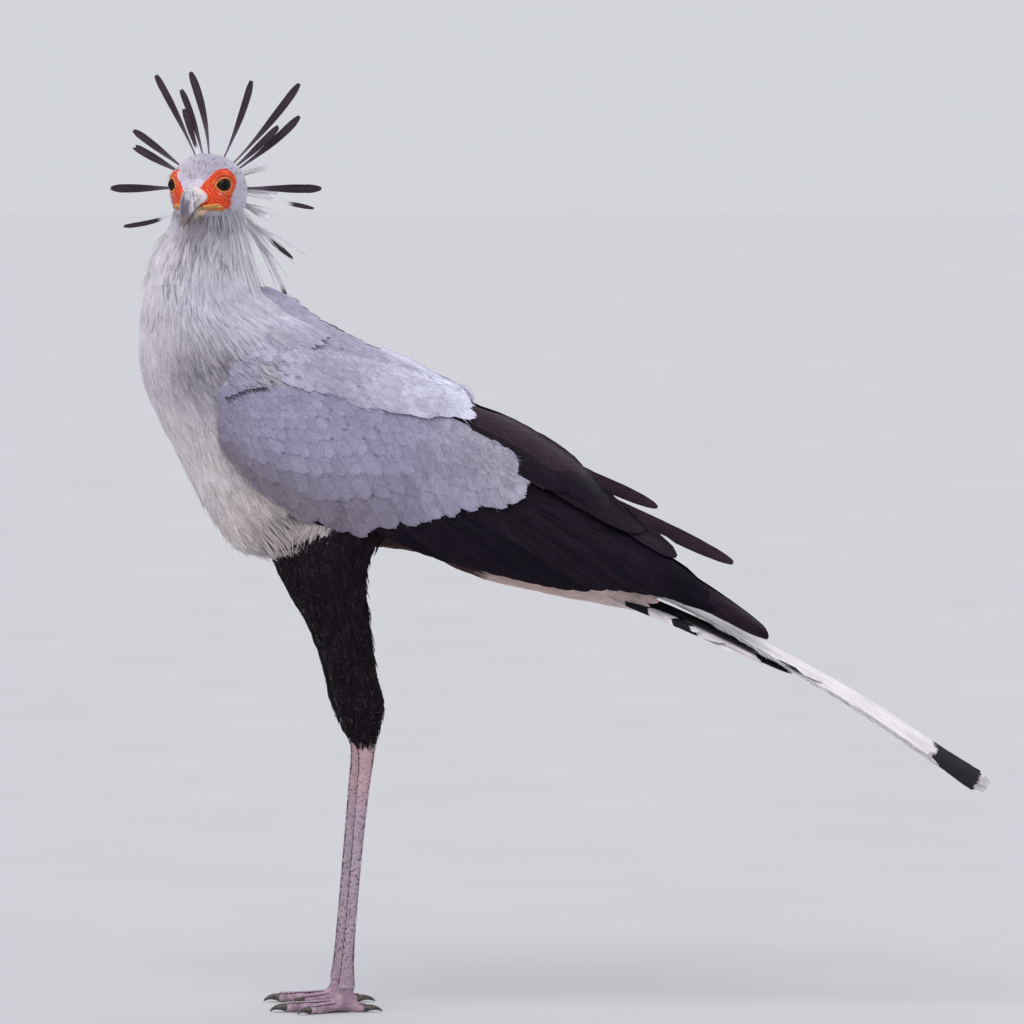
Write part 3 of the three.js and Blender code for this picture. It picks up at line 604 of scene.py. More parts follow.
def lay_feathers(side, feathers, seed, grid, width_of, ragged):
    """Vanes on a folded wing: their vertices, their places on the vane, and the way out of the wing."""
    draw = dice(seed)
    rows, columns, bunch = grid
    share, across = grid_of(rows, columns, bunch)
    take = {name: value[:, None, None] for name, value in feathers.items()}
    count = len(feathers["x"])
    far = take["length"] * (1 - share) + frayed(draw, count, rows, columns, ragged, share)
    rim = 1 + 0.015 * draw.normal(size=(count, rows, 1))
    aside = across * take["width"] / 2 * width_of(share) * rim + take["sweep"] * (1 - share) ** 2
    x, z = off_tip(take, far, aside)
    lift = mix(-take["sink"], take["lift"], np.minimum(1, share * 1.5))
    lift = lift - take["tilt"] * across + take["dome"] * (1 - across ** 2) * ramp(0, 0.4, share)
    thick = take["thick"] / 2 * (1 - across ** 2) * (1 - 0.5 * share)
    sheets = [wing_point(side, x, z, lift + thick * sign) for sign in (1, -1)]
    vane = stack(share, (across + 1) / 2, x)[..., :2]
    out = unit(wing_point(side, x, z, 1.0) - wing_point(side, x, z, 0.0))
    return lens_points(*sheets), lens_points(vane, vane), lens_points(out, out)


def pile_feathers(pile, laid_out, faces, corners, size, tint, **more):
    """Adds laid feathers, each with its own square of the baked map."""
    points, vane, out = laid_out
    count = len(points)
    pile.add(
        points, faces, Vane=vane, OFBake=corners[:, None] + vane * size, tint=rgba(tint)[:, None],
        lot=dice(count).random((count, 1, 1)), out=out, **more,
    )


# Plumage colours, as linear red, green and blue

TINTS = [
    ((-383, 962), (0.66, 0.60, 0.76)), ((-400, 935), (0.80, 0.73, 0.86)), ((-352, 915), (0.86, 0.80, 0.94)),
    ((-395, 888), (0.90, 0.84, 0.95)), ((-430, 862), (0.92, 0.86, 0.95)), ((-350, 855), (0.90, 0.85, 0.96)),
    ((-450, 800), (0.90, 0.83, 0.93)), ((-345, 810), (0.82, 0.78, 0.94)), ((-395, 815), (0.86, 0.82, 0.95)),
    ((-455, 735), (0.84, 0.77, 0.88)), ((-400, 730), (0.50, 0.45, 0.54)), ((-435, 670), (0.92, 0.84, 0.89)),
    ((-400, 610), (0.94, 0.86, 0.88)), ((-350, 560), (0.94, 0.84, 0.85)), ((-300, 520), (0.92, 0.82, 0.84)),
    ((-250, 750), (0.56, 0.53, 0.72)), ((-160, 715), (0.58, 0.56, 0.76)), ((-60, 650), (0.66, 0.64, 0.82)),
    ((60, 470), (0.84, 0.62, 0.60)), ((-20, 490), (0.74, 0.50, 0.47)),
]
TINT_POWER = 4.0
# Dark fluff under the body and at the root of the tail: its middle, its reach and its colour
DARK_FLUFF = [((-170, 512), 80.0, (0.035, 0.018, 0.018)), ((112, 450), 26.0, (0.03, 0.016, 0.02))]
# Darker tufts as painted shade under the chin and in streaks down the near side of the throat: place and
# reach
SHADE_STREAKS = [((-396, 868), 7), ((-380, 860), 6), ((-362, 854), 5), ((-410, 848), 5), ((-422, 828), 5)]
BLACK = np.array([0.012, 0.009, 0.014])
THIGH_BLACK = np.array([0.012, 0.008, 0.012])


def plumage_tint(points):
    """Colour of the pale plumage at places on the bird, alike on its skin and its coat."""
    places = np.array([place for place, _ in TINTS], float)
    colours = np.array([colour for _, colour in TINTS])
    away = np.linalg.norm(points[:, None, [0, 2]] - places[None], axis=-1) + 5
    weight = away ** -TINT_POWER
    colour = (weight @ colours) / weight.sum(axis=1, keepdims=True)
    for (x, z), reach, dark in DARK_FLUFF:
        near = np.hypot(points[:, 0] - x, points[:, 2] - z) + 7 * ripple(points, 30, 5)
        colour = mix(np.array(dark), colour, ramp(reach * 0.8, reach, near)[:, None])
    return colour


def thigh_share(points):
    """How far inside a thigh places are: 1 well inside and 0 well outside."""
    share = np.zeros(len(points))
    for side in SIDES:
        run = leg_run(THIGH, side)
        height = (run.front[:, 2] + run.back[:, 2]) / 2
        order = np.argsort(height)
        middle, deep, half = (
            np.interp(points[:, 2], height[order], line[order]) for line in
            ((run.front[:, 0] + run.back[:, 0]) / 2, (run.back[:, 0] - run.front[:, 0]) / 2, run.half)
        )
        away = np.hypot((points[:, 0] - middle) / deep, (points[:, 1] - side * LEG_Y) / half)
        share = np.maximum(share, 1 - ramp(0.98, 1.12, away))
    return share * (1 - ramp(515, 535, points[:, 2]))


def rgba(colour):
    return np.concatenate([colour, np.ones((len(colour), 1))], axis=1)
# Materials

class Value:
    """One output in a node tree, on which sums, soft steps and blends work."""

    def __init__(self, recipe, socket):
        self.recipe = recipe
        self.socket = socket

    def __add__(self, other):
        return self.recipe.math("ADD", self, other)

    def __sub__(self, other):
        return self.recipe.math("SUBTRACT", self, other)

    def __rsub__(self, other):
        return self.recipe.math("SUBTRACT", other, self)

    def __mul__(self, other):
        return self.recipe.math("MULTIPLY", self, other)

    def scaled(self, by, plus):
        return self.recipe.math("MULTIPLY_ADD", self, by, plus)

    def step(self, low, high, to_low=0.0, to_high=1.0):
        """A soft step between two numbers while this one goes from low to high."""
        node = self.recipe.node("ShaderNodeMapRange", interpolation_type="SMOOTHSTEP")
        return self.recipe.made(
            node, "Result", value=self, from_min=low, from_max=high, to_min=to_low, to_max=to_high,
        )

    def blend(self, first, second):
        """The first colour where this is 0 and the second where it is 1."""
        return self.recipe.blend(self, first, second)

    def on(self, colour):
        """A colour made darker or lighter by this number."""
        return self.recipe.blend(1.0, colour, self.recipe.join(self, self, self), "MULTIPLY")


class Recipe:
    """Fills a node tree: what it is given is a number, a colour or a value that it made."""

    def __init__(self, tree, owner=None):
        self.tree = tree
        self.owner = owner

    def feed(self, socket, value):
        if isinstance(value, Value):
            self.tree.links.new(value.socket, socket)
        elif socket.type == "RGBA" and len(value) == 3:
            socket.default_value = (*value, 1)
        else:
            socket.default_value = value

    def node(self, kind, *values, **settings):
        """A new node with its first inputs fed."""
        node = self.tree.nodes.new(kind)
        for name, value in settings.items():
            setattr(node, name, value)
        for socket, value in zip(node.inputs, values):
            self.feed(socket, value)
        return node

    def out(self, node, place=0):
        return Value(self, node.outputs[place])

    def made(self, node, out, **inputs):
        """The named output of a node whose inputs are fed by name."""
        for name, value in inputs.items():
            found = [s for s in node.inputs if s.enabled and s.name.replace(" ", "_").lower() == name]
            self.feed(found[0], value)
        return Value(self, next(s for s in node.outputs if s.enabled and s.name == out))

    def math(self, kind, *values):
        return self.out(self.node("ShaderNodeMath", *values, operation=kind))

    def vector(self, kind, *values):
        node = self.node("ShaderNodeVectorMath", *values, operation=kind)
        return self.out(node, "Value" if kind == "DOT_PRODUCT" else "Vector")

    def blend(self, share, first, second, kind="MIX"):
        node = self.node("ShaderNodeMix", data_type="RGBA", blend_type=kind)
        for place, value in ((0, share), (6, first), (7, second)):
            self.feed(node.inputs[place], value)
        return self.out(node, 2)

    def read(self, name, out="Fac"):
        """A value that the mesh keeps under a name."""
        return self.out(self.node("ShaderNodeAttribute", attribute_name=name), out)

    def place(self):
        return self.out(self.node("ShaderNodeTexCoord"), "Object")

    def noise(self, vector, scale, detail=2.0, rough=0.5):
        node = self.node("ShaderNodeTexNoise")
        return self.made(node, "Fac", vector=vector, scale=scale, detail=detail, roughness=rough)

    def cells(self, vector, scale, feature="F1"):
        node = self.node("ShaderNodeTexVoronoi", feature=feature)
        return self.made(node, "Distance", vector=vector, scale=scale)

    def stretch(self, vector, scale):
        return self.made(self.node("ShaderNodeMapping"), "Vector", vector=vector, scale=scale)

    def parts(self, name):
        """The three numbers of a vector that the mesh keeps under a name."""
        node = self.node("ShaderNodeSeparateXYZ", self.read(name, "Vector"))
        return [self.out(node, k) for k in range(3)]

    def join(self, x, y, z=0.0):
        return self.out(self.node("ShaderNodeCombineXYZ", x, y, z))

    def bump(self, height, distance, strength=1.0, soft=0.0):
        """A bump. Soft turns normals towards the way out of the body, so that feathers run together."""
        node = self.node("ShaderNodeBump")
        if soft:
            own = self.out(self.node("ShaderNodeNewGeometry"), "Normal")
            body = self.read("out", "Vector")
            share = self.vector("DOT_PRODUCT", own, body).step(0.0, 0.3, 0.0, soft)
            away = self.vector("SUBTRACT", body, own)
            lean = self.vector("MULTIPLY", away, self.join(share, share, share))
            self.feed(node.inputs["Normal"], self.vector("NORMALIZE", self.vector("ADD", own, lean)))
        return self.made(node, "Normal", height=height, distance=distance, strength=strength)

    def group(self, tree, **inputs):
        node = self.node("ShaderNodeGroup", node_tree=tree)
        for name, value in inputs.items():
            self.feed(node.inputs[name.replace("_", " ").capitalize()], value)
        return {socket.name: Value(self, socket) for socket in node.outputs}

    def surface(self, fixed, **inputs):
        """Ends a material with its shader, whose fixed values stay on its own sockets."""
        shader = self.node("ShaderNodeBsdfPrincipled")
        for name, value in {**fixed, **inputs}.items():
            self.feed(shader.inputs[name.replace("_", " ").title().replace("Ior", "IOR")], value)
        self.node("ShaderNodeOutputMaterial", self.out(shader))
        return self.owner


def material(name):
    """The recipe that fills a new material."""
    made = bpy.data.materials.new(name)
    made.use_nodes = True
    made.node_tree.nodes.clear()
    return Recipe(made.node_tree, made)


def shader_group(name, inputs, outputs):
    """A group of numbers: the recipe that fills it, what it is given and its end."""
    tree = bpy.data.node_groups.new(name, "ShaderNodeTree")
    for label, value in inputs.items():
        tree.interface.new_socket(label, in_out="INPUT", socket_type="NodeSocketFloat").default_value = value
    for label in outputs:
        tree.interface.new_socket(label, in_out="OUTPUT", socket_type="NodeSocketFloat")
    recipe = Recipe(tree)
    start = recipe.node("NodeGroupInput")
    return recipe, {label: recipe.out(start, label) for label in inputs}


def feather_pattern():
    """Masks over one vane: its shaft, its rim, the height of its barbs and darker streaks."""
    recipe, given = shader_group(
        "Feather pattern",
        {"Barbs": 60.0, "Slant": 0.25, "Shaft width": 0.06, "Rim width": 0.2, "Streak scale": 9.0},
        ("Shaft", "Rim", "Barb", "Streak"),
    )
    vane = recipe.parts("Vane")
    aside = recipe.math("ABSOLUTE", vane[1] - 0.5) * 2.0
    shaft = 1.0 - aside.step(0.0, given["Shaft width"] * (1.25 - vane[0]))
    inner = 1.0 - given["Rim width"]
    rim = recipe.math("MAXIMUM", aside.step(inner, 1.0), vane[0].step(inner, 1.0))
    along = vane[0] - aside * given["Slant"]
    wave = recipe.math("SINE", along * given["Barbs"] * 6.28)
    strands = recipe.join(along * given["Streak scale"], aside, recipe.read("lot") * 37.0)
    recipe.node("NodeGroupOutput", shaft, rim, wave, recipe.noise(strands, 2.2, 3.0, 0.6))
    return recipe.tree


def soft_blotches():
    """Slow changes of shade over the bird, from where a point is on it."""
    recipe, given = shader_group("Soft blotches", {"Scale": 30.0, "Amount": 0.2}, ("Shade",))
    cloud = recipe.noise(recipe.place(), given["Scale"], 4.0, 0.55)
    dark, light = 1.0 - given["Amount"], recipe.math("ADD", 1.0, given["Amount"])
    recipe.node("NodeGroupOutput", cloud.step(0.3, 0.7, dark, light))
    return recipe.tree


def pale_plumage(pattern, blotches, name, settings, streaks=0.12):
    """Soft matt plumage that takes each feather's own tint, with pale rims and faint shafts."""
    recipe = material(name)
    marks = recipe.group(pattern, barbs=settings.barbs, shaft_width=0.09, rim_width=0.3)
    shade = recipe.group(blotches, scale=38.0, amount=0.07)["Shade"] * recipe.read("lot").scaled(0.14, 0.93)
    shade = shade * marks["Streak"].step(0.35, 0.65, 1 - streaks, 1 + streaks * 0.5)
    edges = marks["Shaft"].scaled(-settings.shaft, marks["Rim"].scaled(settings.rim, 1.0))
    return recipe.surface(
        {"roughness": 0.88, "sheen_weight": 0.04, "sheen_roughness": 0.5, "specular_ior_level": 0.2,
         "subsurface_weight": 0.35, "subsurface_radius": (1.0, 0.9, 0.95), "subsurface_scale": 0.003},
        base_color=edges.on(shade.on(recipe.read("tint", "Color"))),
        normal=recipe.bump(marks["Barb"] * 0.3 + marks["Shaft"], 0.0003, 0.5, settings.soft),
    )


def dark_plumage(pattern, name, dark, brown, rough=0.52, fringe=0.0):
    """Satin black or brown feathers: each keeps under brown how far it goes to the second colour."""
    recipe = material(name)
    marks = recipe.group(pattern, barbs=150.0, shaft_width=0.05, rim_width=0.16)
    colour = recipe.read("brown").blend(dark, brown)
    colour = marks["Streak"].step(0.3, 0.7, 0.7, 1.4).on(colour)
    colour = (marks["Shaft"] * 0.3).blend(colour, (0.04, 0.028, 0.03))
    return recipe.surface(
        {"specular_ior_level": 0.08, "roughness": rough},
        base_color=(marks["Rim"] * fringe).blend(colour, (0.2, 0.14, 0.16)),
        normal=recipe.bump(marks["Barb"] * 0.3 + marks["Shaft"], 0.0004, 0.45, 0.5),
    )


def tail_plumage(pattern):
    """White to grey tail feathers, each with black between the two places its mark gives."""
    recipe = material("Tail plumage")
    marks = recipe.group(pattern, barbs=190.0, slant=0.1, shaft_width=0.05, rim_width=0.25)
    vane = recipe.parts("Vane")
    drawn = recipe.noise(recipe.join(vane[0] * 30.0, vane[1]), 1.6, 2.0)
    along = drawn.scaled(0.035, vane[0] - 0.0175)
    black = 0.0
    for name in ("mark", "mark_two"):
        enter, leave, slope = recipe.parts(name)
        bent = recipe.math("ABSOLUTE", vane[1] - 0.5).scaled(slope * -1.0, along)
        inside = bent.step(enter, enter + 0.012) - bent.step(leave, leave + 0.012)
        black = recipe.math("MAXIMUM", black, inside)
    colour = marks["Streak"].step(0.3, 0.7, 0.82, 1.08).on(recipe.read("tint", "Color"))
    colour = (marks["Shaft"] * 0.45).blend(colour, (0.42, 0.36, 0.36))
    return recipe.surface(
        {"roughness": 0.7, "specular_ior_level": 0.15},
        base_color=black.blend(colour, (0.012, 0.010, 0.016)),
        normal=recipe.bump(marks["Barb"] * 0.4 + marks["Shaft"], 0.0005, 0.6),
    )


# Finishes that belong to one piece

def skin_finish(blotches):
    """Plumage colour where feathers cover it, wrinkled red orange on the face with small painted orange
    highlights, and scaled on the legs.
    """
    recipe = material("Skin")
    place = recipe.place()
    bare, leg = recipe.read("bare"), recipe.read("leg")
    shade = recipe.group(blotches, scale=120.0, amount=0.16)["Shade"]
    red = recipe.noise(place, 90.0, 4.0, 0.6).step(0.35, 0.65, 0.88, 1.1).on(recipe.read("flush", "Color"))
    # Small orange dots round scattered points are painted highlights on the bare skin
    red = recipe.cells(place, 900.0).step(0.25, 0.0, 0.0, 0.25).blend(red, (0.90, 0.24, 0.05))
    mauve = recipe.noise(place, 60.0, 5.0).step(0.35, 0.65).blend((0.31, 0.21, 0.28), (0.46, 0.32, 0.38))
    colour = leg.blend(shade.on(recipe.read("tint", "Color")), shade.on(mauve))
    scales = recipe.cells(recipe.stretch(place, (1.0, 1.0, 0.8)), 330.0, "DISTANCE_TO_EDGE")
    height = scales.step(0.0, 0.12) * leg + recipe.noise(place, 700.0, 3.0) * bare
    return recipe.surface(
        {"specular_ior_level": 0.35}, base_color=bare.blend(colour, red),
        roughness=bare.scaled(-0.3, 0.8), normal=recipe.bump(height, 0.0004, 0.6),
    )


def lid_finish():
    recipe = material("Lids")
    place, lip = recipe.place(), recipe.read("lip")
    red = recipe.noise(place, 220.0, 4.0).step(0.35, 0.65).blend((0.64, 0.045, 0.012), (0.80, 0.13, 0.025))
    colour = lip.step(0.25, 0.8).blend(red, (0.80, 0.33, 0.08))
    return recipe.surface(
        {"roughness": 0.5, "specular_ior_level": 0.4},
        base_color=lip.step(1.0, 1.6).blend(colour, (0.40, 0.24, 0.07)),
        normal=recipe.bump(recipe.noise(place, 900.0, 3.0), 0.0004, 0.5),
    )


def scale_finish():
    recipe = material("Leg scales")
    place = recipe.place()
    colour = recipe.read("lot").scaled(0.24, 0.86).on(recipe.read("tint", "Color"))
    dust = recipe.noise(place, 110.0, 6.0, 0.65).step(0.42, 0.66, 0.0, 0.55)
    return recipe.surface(
        {"roughness": 0.62, "specular_ior_level": 0.35}, base_color=dust.blend(colour, (0.46, 0.38, 0.38)),
        normal=recipe.bump(recipe.noise(place, 500.0, 4.0), 0.0003, 0.5),
    )


def bill_finish():
    """A cream cere, slate sides and a horn-coloured hook, with whitish crusts and a painted pale highlight
    in flakes on the near side.
    """
    recipe = material("Bill horn")
    ahead, left, above = recipe.parts("spot")
    place = recipe.place()
    cloud = recipe.noise(place, 110.0, 5.0, 0.6)
    colour = cloud.scaled(12.0, ahead - 6.0).step(44.0, 52.0).blend((0.84, 0.76, 0.72), (0.50, 0.47, 0.52))
    slate = recipe.noise(recipe.stretch(place, (1.0, 1.0, 0.35)), 130.0, 4.0).step(0.46, 0.6)
    colour = (slate * ahead.step(44.0, 52.0)).blend(colour, (0.16, 0.13, 0.18))
    colour = (above.step(-24.0, -38.0) * ahead.step(50.0, 58.0)).blend(colour, (0.20, 0.15, 0.15))
    yellow = ahead.step(50.0, 40.0).blend((0.26, 0.17, 0.07), (0.66, 0.26, 0.06))
    colour = (above.step(-22.5, -26.0) * ahead.step(56.0, 48.0)).blend(colour, yellow)
    crust = recipe.cells(place, 260.0).step(0.22, 0.1) * ahead.step(58.0, 44.0)
    colour = (crust * 0.7).blend(colour, (0.86, 0.82, 0.80))
    # Pale flakes on the near side only: a painted highlight
    near_side_highlight = recipe.noise(recipe.stretch(place, (1.0, 1.0, 0.4)), 420.0, 4.0).step(0.4, 0.6, 0.1, 0.85)
    colour = (left.step(0.0, 5.0) * above.step(-35.0, -27.0) * near_side_highlight).blend(colour, (0.78, 0.74, 0.76))
    patch = above.step(-13.0, -18.0) * above.step(-36.0, -31.0)
    patch = patch * recipe.math("ABSOLUTE", left).step(7.0, 4.0)
    colour = (patch * cloud.step(0.3, 0.5, 0.6, 0.95)).blend(colour, (0.12, 0.10, 0.15))
    return recipe.surface(
        {"specular_ior_level": 0.45}, base_color=colour, roughness=ahead.step(42.0, 60.0, 0.6, 0.34),
        normal=recipe.bump(recipe.noise(place, 260.0, 5.0) + crust, 0.0005, 0.5),
    )


def claw_finish():
    recipe = material("Claw horn")
    cloud = recipe.noise(recipe.stretch(recipe.place(), (1.0, 1.0, 3.0)), 160.0, 4.0)
    return recipe.surface(
        {"specular_ior_level": 0.45},
        base_color=cloud.step(0.35, 0.7).blend((0.035, 0.028, 0.028), (0.12, 0.095, 0.09)),
        roughness=cloud.step(0.3, 0.7, 0.35, 0.55), normal=recipe.bump(cloud, 0.0004, 0.4),
    )


def eye_finish():
    """A black pupil in a dark brown iris under a clear wet coat."""
    recipe = material("Eye")
    away = recipe.read("away")
    rays = recipe.noise(recipe.stretch(recipe.place(), (1.0, 1.0, 1.0)), 700.0, 3.0)
    iris = rays.step(0.35, 0.65).blend((0.012, 0.006, 0.004), (0.034, 0.015, 0.008))
    iris = away.step(42.0, 50.0).blend(iris, (0.012, 0.008, 0.007))
    return recipe.surface(
        {"roughness": 0.4, "specular_ior_level": 0.0, "coat_weight": 0.6, "coat_roughness": 0.02,
         "coat_ior": 1.35},
        base_color=away.step(25.0, 27.0).blend((0.001, 0.001, 0.001), iris),
    )


def crest_finish(pattern):
    """Brown-black paddles with paler roots; pale says how much of a feather stays whitish."""
    recipe = material("Crest")
    marks = recipe.group(pattern, barbs=110.0, shaft_width=0.14, rim_width=0.2)
    along, pale = recipe.parts("Vane")[0], recipe.read("pale")
    colour = along.step(0.1, 0.62).blend((0.20, 0.155, 0.21), recipe.read("tint", "Color"))
    white = along.step(pale - 0.08, pale + 0.02, 1.0, 0.0) * pale.step(0.0, 0.05)
    colour = marks["Streak"].step(0.3, 0.7, 0.7, 1.35).on(white.blend(colour, (0.90, 0.86, 0.92)))
    return recipe.surface(
        {"roughness": 0.6, "specular_ior_level": 0.15},
        base_color=(marks["Shaft"] * 0.3).blend(colour, (0.14, 0.10, 0.11)),
        normal=recipe.bump(marks["Barb"] * 0.3 + marks["Shaft"], 0.0004, 0.5),
    )


def floor_finish(colour):
    recipe = material("Studio floor")
    grain = recipe.noise(recipe.place(), 3.0, 4.0)
    tone = grain.step(0.3, 0.7, 0.985, 1.015).on(colour)
    return recipe.surface({"roughness": 0.9, "specular_ior_level": 0.2}, base_color=tone)


def make_finishes(settings):
    pattern = feather_pattern()
    blotches = soft_blotches()
    black = {"thigh": ((0.006, 0.003, 0.006), (0.020, 0.012, 0.018), 0.6, 0.2),
             "flight": ((0.005, 0.003, 0.008), (0.040, 0.022, 0.034))}
    FINISH.update({
        "pale": pale_plumage(pattern, blotches, "Pale plumage", settings),
        "covert": pale_plumage(pattern, blotches, "Covert plumage", settings, 0.14),
        **{name: dark_plumage(pattern, name.title() + " plumage", *look) for name, look in black.items()},
        "tail": tail_plumage(pattern), "crest": crest_finish(pattern), "skin": skin_finish(blotches),
        "lid": lid_finish(), "scale": scale_finish(), "bill": bill_finish(), "claw": claw_finish(),
        "eye": eye_finish(),
    })




# The feather coat, one tree for every part of the body

def template(name, rows, shape, bow, thick, tip=(0.0, 0.0)):
    """A vane of unit length along X that arches up and comes down to its tip, with a ridge and a keel."""
    share = (1 - (1 - np.linspace(0, 1, rows)) ** 1.3)[:, None]
    across = np.array([-1.0, 0.0, 1.0])[None]
    x = share - np.array([tip[0], 0.0, tip[1]]) * (share == 1)
    arch = bow * 4 * (share * (1 - share)) - 0.05 * across ** 2 * shape(share)
    deep = thick * (1 - 0.6 * share) * (1 - across ** 2)
    sheets = [stack(x, shape(share) * across / 2, arch + deep * sign)[None] for sign in (1, -1)]
    vane = stack(share, (across + 1) / 2)[None]
    pile = Pile()
    pile.add(lens_points(*sheets) / MM, lens_faces(rows, 3), Vane=lens_points(vane, vane))
    return pile.mesh(name)


def plate_template(name):
    """A low scale of unit length along X, with rounded corners and a raised middle."""
    turn = circle(10)
    square = 1 / (np.abs(np.cos(turn)) ** 4 + np.abs(np.sin(turn)) ** 4) ** 0.25 / 2
    rim = stack(np.cos(turn) * square, np.sin(turn) * square)
    heights = ((0.6, -0.6), (0.98, -0.1), (0.94, 0.35), (0.6, 0.6))
    rings = np.array([np.column_stack([rim * size, np.full(10, high)]) for size, high in heights])
    points, quads, triangles = loft(rings)
    pile = Pile()
    pile.add(points / MM, quads, triangles, Vane=points[:, :2] + 0.5)
    return pile.mesh(name)


def lance(share):
    return (0.55 + 0.45 * ramp(0, 0.4, share)) * (1 - 0.97 * np.clip(share, 0, 1) ** 2.2)


def broad(share):
    tip = np.clip((share - 0.5) / 0.52, 0, 1)
    return (0.5 + 0.5 * ramp(0, 0.45, share)) * np.sqrt(np.clip(1 - tip ** 2, 0, 1))


def thread(share):
    return 1 - 0.9 * share


# Kinds of small feather, in the order of their names, which is how the tree counts them
BROAD, SPLIT, LANCE, FORKED, THREAD, PLATE = range(6)


def feather_kinds():
    """A collection of the small feathers that the coat repeats, kept out of the scene."""
    kept = bpy.data.collections.new("Feather kinds")
    for mesh in (
        template("kind_0_broad", 5, broad, 0.05, 0.008, (0.02, 0.03)),
        template("kind_1_split", 5, broad, 0.07, 0.008, (0.07, 0.0)),
        template("kind_2_lance", 4, lance, 0.05, 0.012),
        template("kind_3_forked", 4, lance, 0.08, 0.012, (0.1, 0.16)),
        template("kind_4_thread", 4, thread, 0.05, 0.016),
        plate_template("kind_5_plate"),
    ):
        kept.objects.link(bpy.data.objects.new(mesh.name, mesh))
    return kept


def named(recipe, name, kind="FLOAT_VECTOR"):
    node = recipe.node("GeometryNodeInputNamedAttribute", data_type=kind)
    return recipe.made(node, "Attribute", name=name)


def coat_feathers(recipe, given):
    """A small feather on each root, turned and scaled by what the root keeps."""
    kinds = recipe.made(
        recipe.node("GeometryNodeCollectionInfo", transform_space="ORIGINAL"), "Instances",
        collection=given["Feathers"], separate_children=True, reset_children=True,
    )
    turn = recipe.made(
        recipe.node("FunctionNodeAxesToRotation", primary_axis="X", secondary_axis="Z"), "Rotation",
        primary_axis=named(recipe, "lie"), secondary_axis=named(recipe, "out"),
    )
    spread = given["Size spread"]
    chance = recipe.made(
        recipe.node("FunctionNodeRandomValue", data_type="FLOAT"), "Value",
        min=1.0 - spread, max=recipe.math("ADD", 1.0, spread), seed=given["Seed"],
    )
    scale = recipe.node("ShaderNodeVectorMath", operation="SCALE")
    return recipe.made(
        recipe.node("GeometryNodeInstanceOnPoints"), "Instances", points=given["Roots"], instance=kinds,
        pick_instance=True, instance_index=named(recipe, "kind", "INT"), rotation=turn,
        scale=recipe.made(scale, "Vector", vector=named(recipe, "size"), scale=chance),
    )


def coat_tree():
    """Sets a small feather on each root and gives it a patch of the baked map."""
    tree = bpy.data.node_groups.new("Feather coat", "GeometryNodeTree")
    for label, kind in (
        ("Roots", "Geometry"), ("Feathers", "Collection"), ("Finish", "Material"),
        ("Patch size", "Float"), ("Size spread", "Float"), ("Seed", "Int"),
    ):
        tree.interface.new_socket(label, in_out="INPUT", socket_type="NodeSocket" + kind)
    tree.interface.new_socket("Coat", in_out="OUTPUT", socket_type="NodeSocketGeometry")
    recipe = Recipe(tree)
    start = recipe.node("NodeGroupInput")
    given = {socket.name: Value(recipe, socket) for socket in start.outputs}
    laid_out = coat_feathers(recipe, given)
    whole = recipe.made(recipe.node("GeometryNodeRealizeInstances"), "Geometry", geometry=laid_out)
    middle = recipe.vector("SUBTRACT", named(recipe, "Vane"), (0.5, 0.5, 0.0))
    wide = recipe.join(given["Patch size"], given["Patch size"])
    store = recipe.node("GeometryNodeStoreNamedAttribute", data_type="FLOAT2", domain="CORNER")
    mapped = recipe.made(
        store, "Geometry", geometry=whole, name="OFBake",
        value=recipe.vector("MULTIPLY_ADD", middle, wide, named(recipe, "patch")),
    )
    finish = recipe.node("GeometryNodeSetMaterial")
    coat = recipe.made(finish, "Geometry", geometry=mapped, material=given["Finish"])
    recipe.node("NodeGroupOutput", coat)
    return tree


class Roots:
    """Places where small feathers grow, with the way each lies, its size, kind and colour."""

    def __init__(self):
        self.parts = []

    def add(self, points, lie, out, patch, size, kind, tint, **more):
        part = {"points": points, "lie": unit(lie), "out": unit(out)}
        wide = {"patch": (patch, 2), "size": (size, 3), "tint": (tint, 3)}
        part.update({name: np.broadcast_to(value, (len(points), to)) for name, (value, to) in wide.items()})
        more["kind"] = kind
        part.update({name: np.broadcast_to(value, len(points)) for name, value in more.items()})
        self.parts.append(part)

    def cloud(self, name, seed):
        """A mesh of single vertices that carries every value under its own name."""
        made = {label: np.concatenate([part[label] for part in self.parts]) for label in self.parts[0]}
        points = made.pop("points")
        mesh = bpy.data.meshes.new(name)
        mesh.vertices.add(len(points))
        mesh.vertices.foreach_set("co", (points * MM).ravel())
        kinds = mesh.attributes.new("kind", "INT", "POINT")
        kinds.data.foreach_set("value", made.pop("kind").astype(np.int32))
        made["size"] = made["size"] * MM
        made["patch"] = np.column_stack([made["patch"], np.zeros(len(points))])
        made["tint"] = rgba(made["tint"])
        made["lot"] = dice(seed).random(len(points))
        for label, values in made.items():
            add_values(mesh, label, values)
        return mesh

    def grow(self, name, finish, seed, spread=0.1):
        """Runs the coat tree over the roots and shows the plain mesh that it makes."""
        given = {
            "Feathers": TREES["kinds"], "Finish": FINISH[finish], "Patch size": PATCH_SIZE,
            "Size spread": spread, "Seed": seed,
        }

        def fill(modifier):
            modifier.node_group = TREES["coat"]
            for item in TREES["coat"].interface.items_tree:
                if item.in_out == "INPUT" and item.name in given:
                    modifier[item.identifier] = given[item.name]

        mesh = through_modifier(self.cloud(name, seed), "NODES", fill)
        if not len(mesh.polygons):
            raise RuntimeError(f"no feathers grew on {name}")
        for label in ("lie", "size", "kind", "patch"):
            if label in mesh.attributes:
                mesh.attributes.remove(mesh.attributes[label])
        mesh.name = name
        show(name, mesh, finish)


